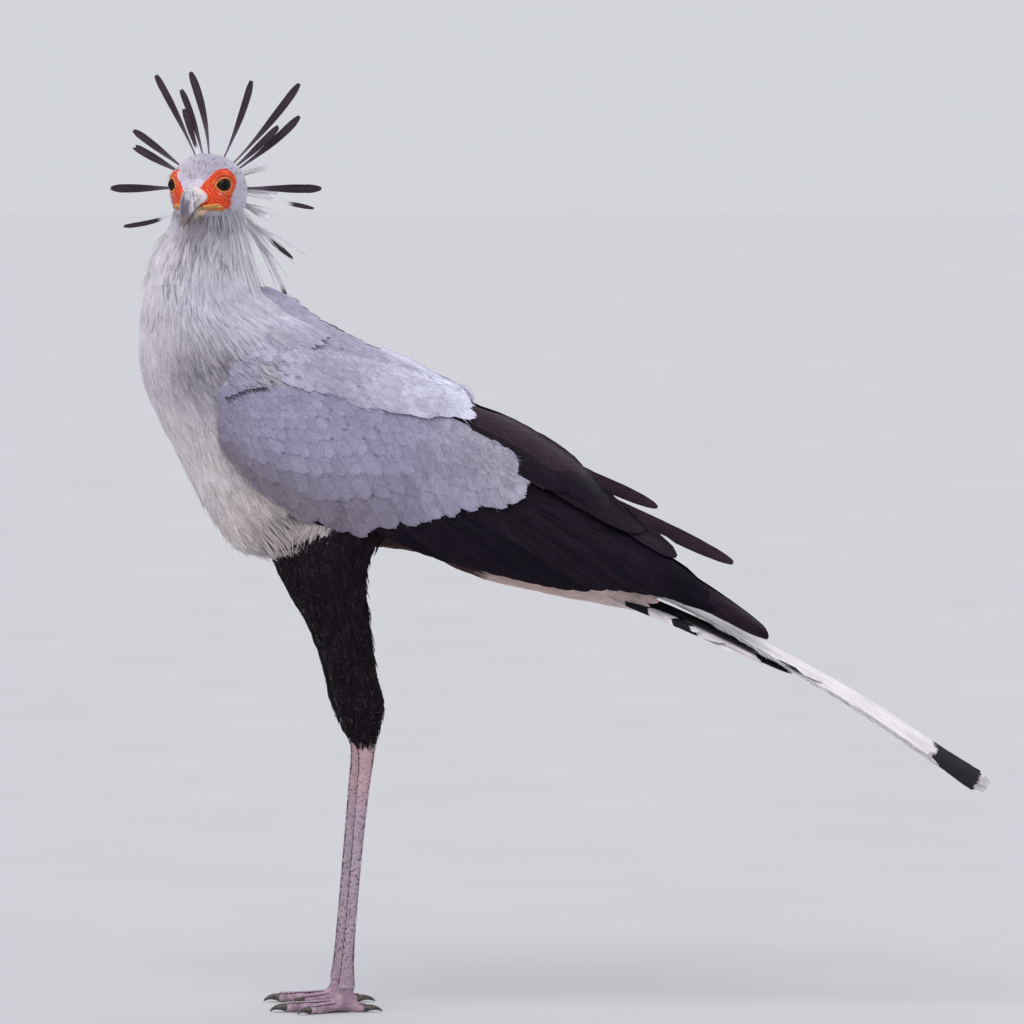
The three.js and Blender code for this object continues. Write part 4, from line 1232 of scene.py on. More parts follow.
def scattered(run, first, last, gap_along, gap_around, seed):
    """Stations and turns of roots in rows over a run, each a little out of line."""
    draw = dice(seed)
    at = first
    found = []
    turns = np.linspace(0, TURN, 60)
    while at < last:
        here = run.point(np.full(60, at), turns)
        ahead = run.point(np.full(60, min(at + 0.1, run.last)), turns)
        around = np.linalg.norm(np.diff(here, axis=0), axis=1).sum()
        pace = np.linalg.norm(ahead - here, axis=1).mean() / 0.1
        count = max(3, int(around / gap_around))
        turn = TURN * (np.arange(count) + 0.5 * (len(found) % 2)) / count
        turn = turn + draw.normal(size=count) * 0.3 * TURN / count
        found.append(np.stack([at + draw.normal(size=count) * 0.3 * gap_along / pace, turn]))
        at += gap_along / max(pace, 5)
    at, turn = np.concatenate(found, axis=1)
    keep = (at >= first) & (at <= last) & (turn >= 0) & (turn <= TURN)
    return at[keep], turn[keep]


def picked(surface, draw, stretch, tries, lift, count, inside):
    """Places on a surface: of many random ones, the first that are inside."""
    at, turn = draw.uniform(*stretch, tries), draw.uniform(0, TURN, tries)
    points = surface.point(at, turn, lift)
    keep = np.flatnonzero(inside(points))[:count]
    return at[keep], turn[keep], points[keep]


def strands(draw, count, thin, wide, lances=0.5):
    """Threads, with lances among them: their kinds and their widths."""
    share = None if lances == 0.5 else [1 - lances, lances]
    kind = draw.choice([THREAD, LANCE], count, p=share)
    return kind, np.where(kind == THREAD, thin, wide)


def under_wing(points, margin=10.0):
    """True where a place is covered by a folded wing or by the feathers over the back."""
    x, _, z = points.T
    low = np.interp(x, *LOWER_EDGE) + margin
    top = np.interp(x, *UPPER_EDGE) - margin
    return (x > -362) & (z > low) & ((z < top) | (x > -300))


def build_head_coat(settings):
    draw = dice(11)
    rows = []
    step = settings.head_gap / MM
    for at in np.arange(0.25, 8.0, 0.052 * step):
        around = TURN * np.interp(at, range(len(SKULL)), [half for _, half, _, _ in SKULL])
        count = int(around / step)
        turn = (np.arange(count) + draw.random()) / count * TURN
        rows.append(np.stack([at + draw.normal(size=count) * 0.05, turn]))
    at, turn = np.concatenate(rows, axis=1)
    at = np.clip(at, 0.2, 7.97)
    points = HEAD.point(at, turn, 0.2)
    ahead, _, above = in_head(points)
    keep = (bare_share(points) < 0.35) & ~((ahead > 34) & (above < 4)) & (points[:, 2] > HEAD_LOW)
    length = (settings.head_length / MM) * (1 + 0.5 * ramp(4.5, 0.5, at)) * draw.uniform(0.8, 1.2, len(at))
    length = length * mix(0.55, 1.0, ramp(2, 12, bare_near(points))) * mix(1.0, 0.7, ramp(20, 34, ahead))
    length = length * mix(1, 2.6, ramp(900, 882, points[:, 2]))
    tip = 0.9 + 0.7 * draw.random(len(at))
    points, lie, out, patch = HEAD.laid(at, turn, length, -0.6, tip, draw, 0.14)
    lie = lie + np.clip((-above - 6) / 30, 0, 1)[:, None] * np.array([0.0, 0.0, -0.5])
    kind = draw.choice([SPLIT, LANCE, FORKED], len(at))
    tint = plumage_tint(points) * (1 - 0.3 * ramp(0.3, 0.95, ripple(points, 9, 3))[:, None])
    tint = tint * (1 - 0.3 * (draw.random((len(at), 1)) < 0.16) * ramp(0, 12, above)[:, None])
    given = (points, lie, out, patch, stack(length, length * 0.36, length), kind, tint)
    roots = Roots()
    roots.add(*(part[keep] for part in given))
    roots.grow("head_coat", "pale", 21)


def shade_streaked(points):
    """How near places are to a streak of painted shade."""
    near = [np.hypot(points[:, 0] - x, points[:, 2] - z) / reach for (x, z), reach in SHADE_STREAKS]
    return ramp(2, 1, np.min(near, axis=0))


def body_coat(name, seed, stretch, gaps, length_of, width_of, kinds, loose, root, tip):
    """Grows rows of small feathers over one stretch of the body."""
    draw = dice(seed)
    at, turn = scattered(BODY, *stretch, *gaps, seed)
    keep = ~under_wing(BODY.point(at, turn, root))
    at, turn = at[keep], turn[keep]
    length = length_of(at, turn)
    width = width_of(length)
    length = length * draw.uniform(0.8, 1.2, len(at))
    place = BODY.laid(at, turn, length, root, draw.uniform(*tip, len(at)), draw, loose)
    points, _, out, _ = place
    tint = plumage_tint(points + out * 4) * (1 + 0.04 * ripple(points, 26, seed)[:, None])
    # Some tufts near the streaks are darker: painted shade
    dark = draw.random(len(at)) < 0.5 * shade_streaked(points)
    tint = tint * np.where(dark & (points[:, 1] < 20), 0.5, 1.0)[:, None]
    roots = Roots()
    roots.add(*place, stack(length, width, length), draw.choice(kinds, len(at)), tint)
    roots.grow(name, "pale", seed + 1)


def build_neck_coat(settings):
    long = settings.neck_length / MM
    body_coat(
        "neck_coat", 31, (0.1, 6.4), (4.1, 3.1),
        lambda at, turn: long * mix(0.7, 1.0, ramp(0.3, 2.5, at)) * (1 + 0.15 * np.cos(turn) ** 2),
        lambda length: length * 0.13, [LANCE, FORKED, SPLIT], 0.12, -2.0, (0.2, 1.1),
    )
    body_coat(
        "neck_threads", 33, (0.2, 6.8), (4.6, 3.7), lambda at, turn: long * 0.95,
        lambda length: 0.7, [THREAD], 0.2, -1.0, (0.6, 2.0),
    )
    build_wisps()


# Threads that stand clear of the throat and of the nape: how many, their stations and turns, their
# length, how far their tips stand off, their width and kind
WISPS = (
    (70, (0.8, 2.8), (-1.0, 0.3), (26, 36), (6, 15), 1.0, THREAD),
    (60, (0.8, 2.9), (-0.9, 0.2), (24, 34), (4, 11), 1.7, LANCE),
    (420, (-0.1, 1.1), (-1.7, 2.2), (18, 34), (1.0, 5), 1.5, LANCE),
    (420, (-0.1, 1.4), (-1.7, 2.2), (16, 30), (1.5, 6), 0.7, THREAD),
    (40, (0.2, 2.6), (2.3, 3.9), (36, 62), (3, 12), 1.1, THREAD),
    (22, (0.1, 1.8), (2.4, 3.8), (34, 52), (4, 12), 3.0, LANCE),
)


def build_wisps():
    draw = dice(36)
    roots = Roots()
    for count, ats, turns, length, clear, width, kind in WISPS:
        at = np.maximum(draw.uniform(*ats, count), 0.0)
        turn = draw.uniform(*turns, count)
        long = draw.uniform(*length, count)
        place = BODY.laid(at, turn, long, -3.0, draw.uniform(*clear, count), draw, 0.12)
        roots.add(*place, stack(long, width, long * 0.8), kind, (0.94, 0.90, 0.95))
    add_beard(roots, draw)
    roots.grow("wisps", "pale", 37)


def add_beard(roots, draw):
    """White threads from the lower edge of the face, fanned out over the top of the throat."""
    def chin(points):
        ahead, _, above = in_head(points)
        low = (points[:, 2] > HEAD_LOW) & (points[:, 2] < 900 - 0.25 * np.maximum(ahead, 0)) & (above < -18)
        return low & (bare_near(points) > 1.0) & (ahead < 34)

    at, turn, points = picked(HEAD, draw, (0.3, 7.9), 9000, -0.5, 1000, chin)
    out = HEAD.ways(at, turn)[1]
    lie = -UP + out * 0.32 + draw.normal(size=out.shape) * 0.1
    long = draw.uniform(14, 27, len(at))
    kind, width = strands(draw, len(at), 0.8, 1.7)
    # Some threads are darker: painted shade under the chin
    shade = np.where(draw.random((len(at), 1)) < 0.15, 0.6, 1.0)
    size = stack(long, width, 20.0)
    roots.add(points, lie, out, HEAD.patch(at, turn), size, kind, shade * np.array([0.93, 0.88, 0.96]))


def build_body_coat(settings):
    long = settings.body_length / MM
    body_coat(
        "breast_coat", 41, (5.6, TORSO_END + 0.6), (5.8, 4.9),
        lambda at, turn: long * mix(0.9, 1.15, ramp(6, 13, at)), lambda length: length * 0.24,
        [BROAD, SPLIT], 0.12, -2.5, (0.0, 1.2),
    )
    body_coat(
        "breast_threads", 43, (6.0, TORSO_END + 0.2), (5.4, 4.5),
        lambda at, turn: long * 0.9, lambda length: 0.8, [THREAD], 0.22, -1.0, (0.6, 2.6),
    )
    body_coat(
        "tail_coverts", 45, (TORSO_END - 0.6, BODY.last - 0.9), (6.0, 5.0),
        lambda at, turn: 34.0, lambda length: 10.0, [BROAD, SPLIT], 0.08, -3.0, (0.0, 1.5),
    )


def build_thigh_coat(settings):
    long = settings.thigh_length / MM
    for side in SIDES:
        run = leg_run(THIGH, side)
        draw = dice(51)
        at, turn = scattered(run, 0.05, run.last - 0.25, 5.0, 4.0, 52)
        length = long * mix(1.0, 0.6, ramp(3.5, 7, at)) * draw.uniform(0.75, 1.25, len(at))
        behind = ramp(-0.2, -0.9, np.cos(turn)) * ramp(4.5, 3, at)
        tip = draw.uniform(-0.2, 1.3, len(at)) + 4.5 * behind * draw.random(len(at)) ** 2
        place = run.laid(at, turn, length, -2.0, tip, draw, 0.2)
        keep = (place[0][:, 2] < 538) | (place[0][:, 0] > -240)
        given = (*place, stack(length, length * 0.28, length))
        roots = Roots()
        roots.add(
            *(part[keep] for part in given), draw.choice([LANCE, FORKED], keep.sum()), THIGH_BLACK,
            brown=draw.random(keep.sum()) ** 3,
        )
        roots.grow(f"thigh_coat_{SIDE_NAMES[side]}", "thigh", 53)


def build_thigh_threads():
    """A few pale threads that lie across the dark thighs."""
    draw = dice(58)
    roots = Roots()
    count = 330
    for side in SIDES:
        run = leg_run(THIGH, side)
        at, turn = draw.uniform(0.6, 5.8, count), draw.uniform(0, TURN, count)
        around = unit(run.point(at, turn + 0.1, 1.0) - run.point(at, turn, 1.0))
        along, out = run.ways(at, turn)
        way = around * draw.choice([-1, 1], (count, 1)) + along * draw.uniform(0, 1.1, (count, 1))
        size = stack(draw.uniform(3, 8, count), 0.45, 8.0)
        tint = draw.uniform(0.03, 0.2, (count, 1)) * np.array([1.0, 0.85, 1.0])
        roots.add(run.point(at, turn, 1.3), way, out, run.patch(at, turn), size, THREAD, tint)
    roots.grow("thigh_threads", "pale", 59)


# The lowest places that the threads over the thighs reach, and the stations that threads grow from
BELLY_EDGE = ((-330, -312, -294, -266), (508, 511, 517, 524))
BELLY = (5.6, TORSO_END)


def add_threads(roots, surface, at, turn, length, root, clear, draw, loose, strand, tint_of):
    """Adds threads that lie on a surface. Strand is their width, that of lances and the share of those."""
    points, lie, out, patch = surface.laid(at, turn, length, root, clear, draw, loose)
    kind, width = strands(draw, len(at), *strand)
    roots.add(points, lie, out, patch, stack(length, width, length), kind, tint_of(points))


def add_ragged_breast(roots, draw):
    """Loose threads that break the lower outline of the breast."""
    def inside(points):
        return (points[:, 0] > -400) & (points[:, 0] < -305) & (points[:, 2] < 600)

    at, turn, _ = picked(BODY, draw, BELLY, 30000, 0.0, 480, inside)
    length = draw.uniform(14, 25, len(at))
    clear = 1.5 + 6.5 * draw.random(len(at)) ** 2
    add_threads(
        roots, BODY, at, turn, length, -1.5, clear, draw, 0.3, (0.8, 2.0, 0.4),
        lambda points: plumage_tint(points) * draw.uniform(0.9, 1.05, (len(at), 1)),
    )


def add_bridge(roots, draw):
    """Threads from the edge of the belly that lie over the front of each thigh and hide the join."""
    def inside(points):
        x, y, z = points.T
        return (x > -324) & (x < -288) & (z > 511) & (z < 558) & (np.abs(y) > 18)

    ats, turns, places = picked(BODY, draw, BELLY, 40000, -1.0, None, inside)
    for side in SIDES:
        keep = np.flatnonzero(places[:, 1] * side > 0)[:300]
        at, turn, root = ats[keep], turns[keep], places[keep]
        down = unit(stack(0.6, 0.0, -0.8) + draw.normal(size=root.shape) * [0.1, 0.0, 0.1])
        low = np.interp(root[:, 0], *BELLY_EDGE) - 3 * draw.random(len(root)) ** 2
        reach = np.minimum(draw.uniform(16, 30, len(root)), np.maximum(root[:, 2] - low, 4) / -down[:, 2])
        end = root + down * reach[:, None]
        depth = thigh_depth(side, end, root[:, 1] * side - 8)
        end[:, 1] = side * (depth + draw.uniform(0.3, 2.0, len(root)))
        long = np.linalg.norm(end - root, axis=1)
        kind, width = strands(draw, len(root), 0.8, 2.2, 0.4)
        tint = plumage_tint(root - [15, 0, 0]) * draw.uniform(0.82, 1.02, (len(root), 1))
        out = np.broadcast_to([0.0, side, 0.3], root.shape)
        roots.add(root, end - root, out, BODY.patch(at, turn), stack(long, width, long), kind, tint)


def thigh_depth(side, places, least):
    """How far out the front of a thigh is, seen from the side, near each place."""
    stations, turns = np.meshgrid(np.linspace(0, 2.5, 60), np.linspace(0, TURN, 90))
    thigh = leg_run(THIGH, side).point(stations, turns, 0.8).reshape(-1, 3)
    apart = np.hypot(places[:, 0, None] - thigh[None, :, 0], places[:, 2, None] - thigh[None, :, 2])
    return np.maximum(np.where(apart < 5, thigh[None, :, 1] * side, -1000).max(axis=1), least)


def build_belly_fringe():
    """White filaments that hang from the belly over the front of each thigh."""
    def inside(points):
        return (points[:, 0] > -352) & (points[:, 0] < -262) & (points[:, 2] < 562)

    roots = Roots()
    draw = dice(55)
    at, turn, points = picked(BODY, draw, BELLY, 60000, 0.0, 1500, inside)
    length = draw.uniform(15, 28, len(at))
    clear = draw.uniform(0.5, 4.0, len(at)) + 8 * draw.random(len(at)) ** 3 * ramp(530, 512, points[:, 2])
    add_threads(roots, BODY, at, turn, length, -1.5, clear, draw, 0.25, (0.8, 1.6), plumage_tint)
    for side in SIDES:
        run = leg_run(THIGH, side)
        at, turn = scattered(run, 0.0, 0.5, 1.45, 1.45, 56)
        x = run.point(at, turn)[:, 0]
        keep = (x < -226) & (at < 0.42 - 0.3 * ramp(-275, -226, x))
        at, turn = at[keep], turn[keep]
        length = draw.uniform(17, 30, len(at))
        points, lie, out, patch = run.laid(
            at, turn, length, -1.0, draw.uniform(0.5, 3.0, len(at)), draw, 0.25,
        )
        out = unit(out + np.array([-0.3, 0, -0.6]) * ramp(-235, -280, points[:, :1]))
        kind, width = strands(draw, len(at), 0.8, 3.0, 0.3)
        tint = plumage_tint(points - [25, 0, 0]) * draw.uniform(0.78, 1.0, (len(at), 1))
        roots.add(points, lie, out, patch, stack(length, width, length), kind, tint)
    add_bridge(roots, draw)
    add_ragged_breast(roots, draw)
    roots.grow("belly_fringe", "pale", 57)


# Folded wings

COVERT_LOW = [
    (-350, 630), (-327.5, 601), (-301, 580), (-279, 567), (-251, 552), (-221, 542.5), (-203, 541),
    (-175, 547), (-143, 549), (-125, 556), (-100, 563), (-64, 568), (-47, 571), (-31, 580), (-23, 593),
]
COVERT_TOP = [
    (-362, 656), (-360, 682), (-346.6, 692.2), (-313, 695.5), (-276.1, 697.8), (-221.2, 696.6),
    (-167.4, 680), (-124, 663), (-99, 650), (-75, 636), (-38, 614),
]
COVERT_TIERS = (0.04, 0.09, 0.14, 0.2, 0.27, 0.36, 0.47, 0.6, 0.78, 1.0)
COVERT_LIE = dense([(0, 50), (0.15, 44), (0.3, 42), (0.45, 50), (0.6, 56), (0.8, 48), (1, 36)])
COVERT_LENGTH = (26.0, 78.0)
COVERT_WIDTH = (13.0, 31.0)
# Loose barbs at the tip of each feather of the wing
BARBS_EACH = 6
SCAPULAR_TOP = [
    (-330, 768), (-313, 779), (-293.6, 774), (-271, 765), (-256, 757), (-221.8, 739), (-190, 725),
    (-144.6, 706), (-90, 682),
]
SCAPULAR_LOW = [
    (-352, 698), (-329, 703), (-300, 699), (-258, 699), (-235, 693), (-204, 684), (-176, 677),
    (-145, 671), (-90, 666),
]
SCAPULAR_TIERS = (0.04, 0.15, 0.28, 0.42, 0.57, 0.72, 0.86, 1.0)
SCAPULAR_LIE = dense([(0, 40), (0.25, 36), (0.5, 31), (0.75, 28), (1, 27)])
# Dark threads laid along the gaps between the feathers of the shoulder, as painted shade: their lines,
# darkness and how far they reach
SHADE_GAPS = [
    ([(-360, 688), (-345, 695), (-330, 699), (-316, 700)], (0.05, 0.04, 0.05), (5, 9), 46),
    ([(-309, 726), (-296, 716), (-276, 708), (-278, 701)], (0.22, 0.20, 0.28), (5, 9), 30),
]
SECONDARIES = {"count": 18, "first": (-112, 514), "last": (186.0, 455.0), "lie": (29, 35),
               "length": (185, 235), "width": 34}
TERTIALS = [
    (-247, 548, 33, 60, 14, 0.2), (-212, 537, 30, 60, 12, 0.2), (140, 508, 36, 210, 22, 0.25),
    (206, 501, 26, 262, 17, 0.9),
    (121, 563.5, 24.5, 175, 15, 0.8), (38, 595.5, 33, 160, 30, 0.7), (20, 585, 33, 160, 32, 0.15),
    (66, 566, 34, 170, 32, 0.1), (104, 535, 34, 185, 32, 0.2),
]
PRIMARIES = [(226, 431, 33, 196, 26, 0.3), (236, 425, 32.5, 210, 24, 0.2), (245, 419, 32, 226, 21, 0.45)]


def tiers(top, low, shares, seed, widths, lengths, lies, gap=0.56):
    """Rows of feathers between two lines on the wing: tip, lie, length, width, tier and share of each."""
    draw = dice(seed)
    found = []
    for order, tier in enumerate(shares):
        fine = np.linspace(0, 1, 60)
        line = mix(smooth(top, fine), smooth(low, fine), tier)
        width = widths(tier)
        steps = np.linalg.norm(np.diff(line, axis=0), axis=1)
        count = int(steps.sum() / (width * gap))
        share = (np.arange(count) + 0.5 * (order % 2)) / (count - 0.5)
        share = share + draw.normal(size=count) * 0.1 / count
        tip = stack(*(np.interp(share, fine, line[:, k]) for k in (0, 1)))
        tip = tip + draw.normal(size=tip.shape) * (1.0 + 1.3 * tier)
        found.append(np.column_stack([
            tip, np.interp(share, *lies) + draw.normal(size=count) * 2.5,
            lengths(tier, share) * draw.uniform(0.93, 1.07, count),
            width * mix(0.75, 1.0, ramp(0, 0.25, share)), np.full(count, tier), share,
        ]))
    return np.vstack(found)


def covert_tint(table):
    """Lilac grey coverts: darker at the shoulder, paler and pinker to the rear and below."""
    tier, share = table[:, 5], table[:, 6]
    colour = mix((0.32, 0.285, 0.40), (0.36, 0.34, 0.50), ramp(0.0, 0.35, share)[:, None])
    colour = mix(colour, (0.46, 0.42, 0.54), ramp(0.55, 1.0, share)[:, None])
    under = ramp(0.45, 1.0, tier) * (1 - ramp(0.35, 0.8, share))
    colour = mix(colour, (0.22, 0.17, 0.20), 0.7 * under[:, None])
    return colour * (1 + 0.05 * dice(62).normal(size=(len(table), 1)))


def feathers_from(table, lift, dome, thick=0.3, sweep=-2.0, tilt=0.1):
    feathers = {name: table[:, k] for k, name in enumerate(("x", "z", "lie", "length", "width"))}
    more = {"lift": lift, "dome": dome, "thick": thick, "sweep": sweep, "sink": 2.0, "tilt": tilt}
    return feathers | {name: np.broadcast_to(value, len(table)) for name, value in more.items()}


def show_wing_feathers(
    name, feathers, tint, seed, ragged, grid=(9, 7, 1.5), width_of=rounded, finish="covert",
    slot="grey_plumage", **more,
):
    corners, size = atlas(len(tint))
    for side in SIDES:
        pile = Pile()
        laid_out = lay_feathers(side, feathers, seed + side, grid, width_of, ragged)
        pile_feathers(pile, laid_out, lens_faces(*grid[:2]), corners, size, tint, **more)
        pile.show(f"{name}_{SIDE_NAMES[side]}", finish, slot)


def wing_tufts(roots, x, z, lie, size, kind, tint, lift, clear):
    """Small feathers laid on both wings, each from its root at an angle below level."""
    angle = np.radians(lie)
    for side in SIDES:
        root = wing_point(side, x, z, lift)
        end = wing_point(side, x + np.cos(angle) * size[:, 0], z - np.sin(angle) * size[:, 0], clear)
        out = wing_point(side, x, z, lift + 1) - root
        patch = np.clip(stack((x + 400) / 1000 + (0.5 if side > 0 else 0.01), (z - 400) / 480), 0.01, 0.99)
        roots.add(root, end - root, out, patch, size, kind, tint)


def grow_barbs(name, feathers, tint, length, width, seed):
    """Loose barbs at the tips of wing feathers, which soften their edges."""
    draw = dice(seed)
    chosen = np.repeat(np.arange(len(tint)), BARBS_EACH)
    across = draw.uniform(-0.95, 0.95, len(chosen))
    take = {label: value[chosen] for label, value in feathers.items()}
    half = take["width"] / 2
    long = length * draw.uniform(0.7, 1.3, len(chosen)) * np.minimum(1, half / 11)
    back = half * (1 - np.sqrt(1 - across ** 2)) + long * draw.uniform(0.6, 0.9, len(chosen))
    x, z = off_tip(take, back, across * half)
    lift = take["lift"] + 0.2
    tint = np.minimum(1, tint[chosen] * draw.uniform(0.9, 1.15, (len(chosen), 1)))
    clear = lift + draw.uniform(-0.3, 0.4, len(lift))
    roots = Roots()
    wing_tufts(roots, x, z, take["lie"] - 24 * across, stack(long, width, long), THREAD, tint, lift, clear)
    roots.grow(name, "covert", seed + 1)


def build_coverts(settings):
    scale = settings.covert_scale
    coverts = tiers(
        COVERT_TOP, COVERT_LOW, COVERT_TIERS, 61, lambda tier: mix(*COVERT_WIDTH, tier) * scale,
        lambda tier, share: mix(*COVERT_LENGTH, tier) * mix(0.62, 1.0, ramp(0, 0.3, share)), COVERT_LIE,
    )
    room = (coverts[:, 0] + 366) / np.cos(np.radians(coverts[:, 2]))
    coverts[:, 3] = np.minimum(coverts[:, 3], np.maximum(room, 9))
    rear = ramp(0.6, 1.0, coverts[:, 6])
    over = 4.2 * ramp(0.55, 0.9, coverts[:, 6])
    feathers = feathers_from(coverts, 1.2 - 0.4 * coverts[:, 5] + over, mix(0.8, 0.5, rear))
    tint = covert_tint(coverts)
    show_wing_feathers("wing_coverts", feathers, tint, 63, 1.2)
    grow_barbs("covert_barbs", feathers, tint, 10.0, 0.5, 65)


def build_scapulars():
    """Long feathers that hang over the back down to the fold of the wing, and down on the shoulder."""
    table = tiers(
        SCAPULAR_TOP, SCAPULAR_LOW, SCAPULAR_TIERS, 71, lambda tier: 13.0,
        lambda tier, share: mix(26, 74, ramp(0.05, 0.9, share)), SCAPULAR_LIE, 0.5,
    )
    draw = dice(74)
    table = table[(table[:, 6] > 0.3) | ((table[:, 6] > 0.12) & (table[:, 5] < 0.6))]
    rear = table[:, 6]
    lie = mix(26 + 5 * rear, table[:, 2], ramp(0.1, 0.6, table[:, 5]))
    table[:, 2] = lie + draw.normal(size=len(rear)) * 3
    table[:, 3] *= draw.uniform(0.85, 1.15, len(rear))
    table[:, 4] *= mix(0.7, 1.35, rear) * draw.uniform(0.85, 1.15, len(rear))
    fold = (1 - ramp(0.5, 0.85, rear)) * ramp(0.75, 1.0, table[:, 5])
    fold = fold + 3.6 * ramp(0.7, 0.95, rear) * ramp(0.1, 0.5, table[:, 5])
    feathers = feathers_from(table, 1.4 + 1.4 * fold, mix(0.6, 0.5, rear))
    tint = mix((0.52, 0.49, 0.66), (0.74, 0.72, 0.92), ramp(0.72, 1.0, rear)[:, None])
    tint = tint * (1 + 0.05 * dice(72).normal(size=(len(table), 1)))
    show_wing_feathers("scapulars", feathers, tint, 73, 1.8)
    grow_barbs("scapular_barbs", feathers, tint, 13.0, 0.6, 75)
    build_shoulder_down()


def back_places(share, tier, down):
    """Places between the lines of the scapulars, seen from the side."""
    return (mix(smooth(SCAPULAR_TOP, share), smooth(SCAPULAR_LOW, share), tier[:, None]) - down).T


def build_shoulder_down():
    """Soft short feathers over the front of the shoulder, and dark threads along the gaps between their
    groups as painted shade.
    """
    draw = dice(77)
    roots = Roots()
    count = 1700
    share, tier = draw.uniform(0, 0.5, count), draw.uniform(-0.02, 1.0, count)
    x, z = back_places(share, tier, [10, -8])
    kinds = draw.choice([LANCE, SPLIT, THREAD], count)
    long = draw.uniform(13, 22, count)
    width = np.where(kinds == THREAD, 0.7, draw.uniform(2.4, 4.2, count))
    pocket = (ramp(0.5, 0.8, tier) * ramp(-340, -322, x) * ramp(-276, -290, x))[:, None]
    tint = mix((0.50, 0.47, 0.63), (0.56, 0.53, 0.60), pocket) * (1 + 0.07 * draw.normal(size=(count, 1)))
    lie = mix(26, np.interp(share, *SCAPULAR_LIE), tier) + draw.normal(size=count) * 7
    wing_tufts(
        roots, x, z, lie, stack(long, width, long), kinds, tint, -0.6, draw.uniform(0.6, 2.2, count),
    )
    # Dark threads as painted shade in the gaps
    for line, dark, reach, count in SHADE_GAPS:
        place = smooth(line, np.linspace(0, 1, count)) + draw.normal(size=(count, 2)) * 0.8
        long = draw.uniform(*reach, count)
        lie = draw.uniform(5, 60, count)
        wing_tufts(roots, *place.T, lie, stack(long, 1.1, long), THREAD, dark, 2.3, 3.0)
    roots.grow("shoulder_down", "covert", 78)
    build_back_down()


def build_back_down():
    """Small feathers over the ridge of the back, in front of the long ones and above them."""
    draw = dice(79)
    roots = Roots()
    count = 1100
    share, tier = draw.uniform(0.05, 0.97, count), draw.uniform(-0.3, 0.12, count)
    x, z = back_places(share, tier, [16, -9])
    long = draw.uniform(14, 24, count)
    kinds = draw.choice([BROAD, SPLIT], count)
    tint = mix((0.52, 0.49, 0.66), (0.72, 0.70, 0.90), ramp(0.6, 1.0, share)[:, None])
    tint = tint * draw.uniform(0.85, 1.12, (count, 1))
    lie = 27 + 4 * share + draw.normal(size=count) * 4
    wing_tufts(
        roots, x, z, lie, stack(long, long * 0.3, long), kinds, tint, -0.8, draw.uniform(0.8, 1.8, count),
    )

    def ridge(points):
        x, _, z = points.T
        return (x > -325) & (x < -150) & (z > 985 + 0.85 * x)

    at, turn, _ = picked(BODY, draw, (5.0, TORSO_END), 30000, 0.0, 1000, ridge)
    long = draw.uniform(14, 24, len(at))
    place = BODY.laid(at, turn, long, -1.0, draw.uniform(0.8, 2.2, len(at)), draw, 0.15)[:3]
    tint = draw.uniform(0.85, 1.12, (len(at), 1)) * np.array([0.54, 0.51, 0.68])
    patch = np.clip(stack(turn / TURN % 1, (at - 5) / TORSO_END), 0.02, 0.98)
    kind = draw.choice([BROAD, SPLIT], len(at))
    roots.add(*place, patch, stack(long, long * 0.3, long), kind, tint)
    roots.grow("back_down", "covert", 80)


def flight_table():
    """The black feathers of one wing as tiers gives them, with lift and brownness as the last two."""
    share = np.linspace(0, 1, SECONDARIES["count"])
    x = mix(SECONDARIES["first"][0], SECONDARIES["last"][0], share)
    rows = np.column_stack([
        x, np.interp(x, *LOWER_EDGE) + 2, mix(*SECONDARIES["lie"], share),
        mix(*SECONDARIES["length"], share), np.full(len(x), SECONDARIES["width"]),
        dice(81).random(len(x)) * 0.25, -1.0 + 0.2 * np.arange(len(x)),
    ])
    upper = [(*feather, 2.6 + 0.4 * k if feather[0] > -200 else -0.8) for k, feather in enumerate(TERTIALS)]
    ends = [(*feather, -0.5 + 1.2 * k) for k, feather in enumerate(PRIMARIES)]
    return np.vstack([rows, upper, ends])


def build_flight():
    table = flight_table()
    feathers = feathers_from(table, table[:, 6], 1.0, 0.9, -5.0, 0.9)
    show_wing_feathers(
        "flight_feathers", feathers, np.tile(BLACK, (len(table), 1)), 83, 0.35, FLIGHT_GRID, bladed,
        "flight", "black_plumage", brown=table[:, 5][:, None, None],
    )


# Feathers along a curve: the tail, the two long feathers and the crest

def lay_along(line, across, width, width_of, seed, grid, ragged, thick, droop):
    """One vane along a curve of share, with its barbs frayed, as lay_feathers gives them."""
    draw = dice(seed)
    rows, columns, bunch = grid
    share, aside = grid_of(rows, columns, bunch)
    share, aside = share[0], aside[0]
    step = 0.01
    tangent = unit(line(np.clip(share[:, 0] + step, 0, 1)) - line(np.clip(share[:, 0] - step, 0, 1)))
    across = np.broadcast_to(across, (rows, 3))
    wide = unit(across - tangent * np.sum(tangent * across, axis=1, keepdims=True))
    out = np.cross(tangent, wide)
    stray = frayed(draw, 1, rows, columns, ragged, share)[0] * np.abs(aside)
    half = width / 2 * width_of(share) * (1 + 0.01 * draw.normal(size=(rows, 1)))
    middle = line(share[:, 0])[:, None] + tangent[:, None] * stray[..., None]
    rise = -droop * aside ** 2 * width_of(share)
    body = thick / 2 * (1 - aside ** 2) * (1 - 0.6 * share)
    sheets = [
        middle + wide[:, None] * (half * aside)[..., None] + out[:, None] * (rise + sign * body)[..., None]
        for sign in (1, -1)
    ]
    vane = stack(np.broadcast_to(share, (rows, columns)), (aside + 1) / 2)
    out = np.broadcast_to(out[:, None], sheets[0].shape)
    return [lens_points(*(part[None] for part in pair)) for pair in (sheets, (vane, vane), (out, out))]


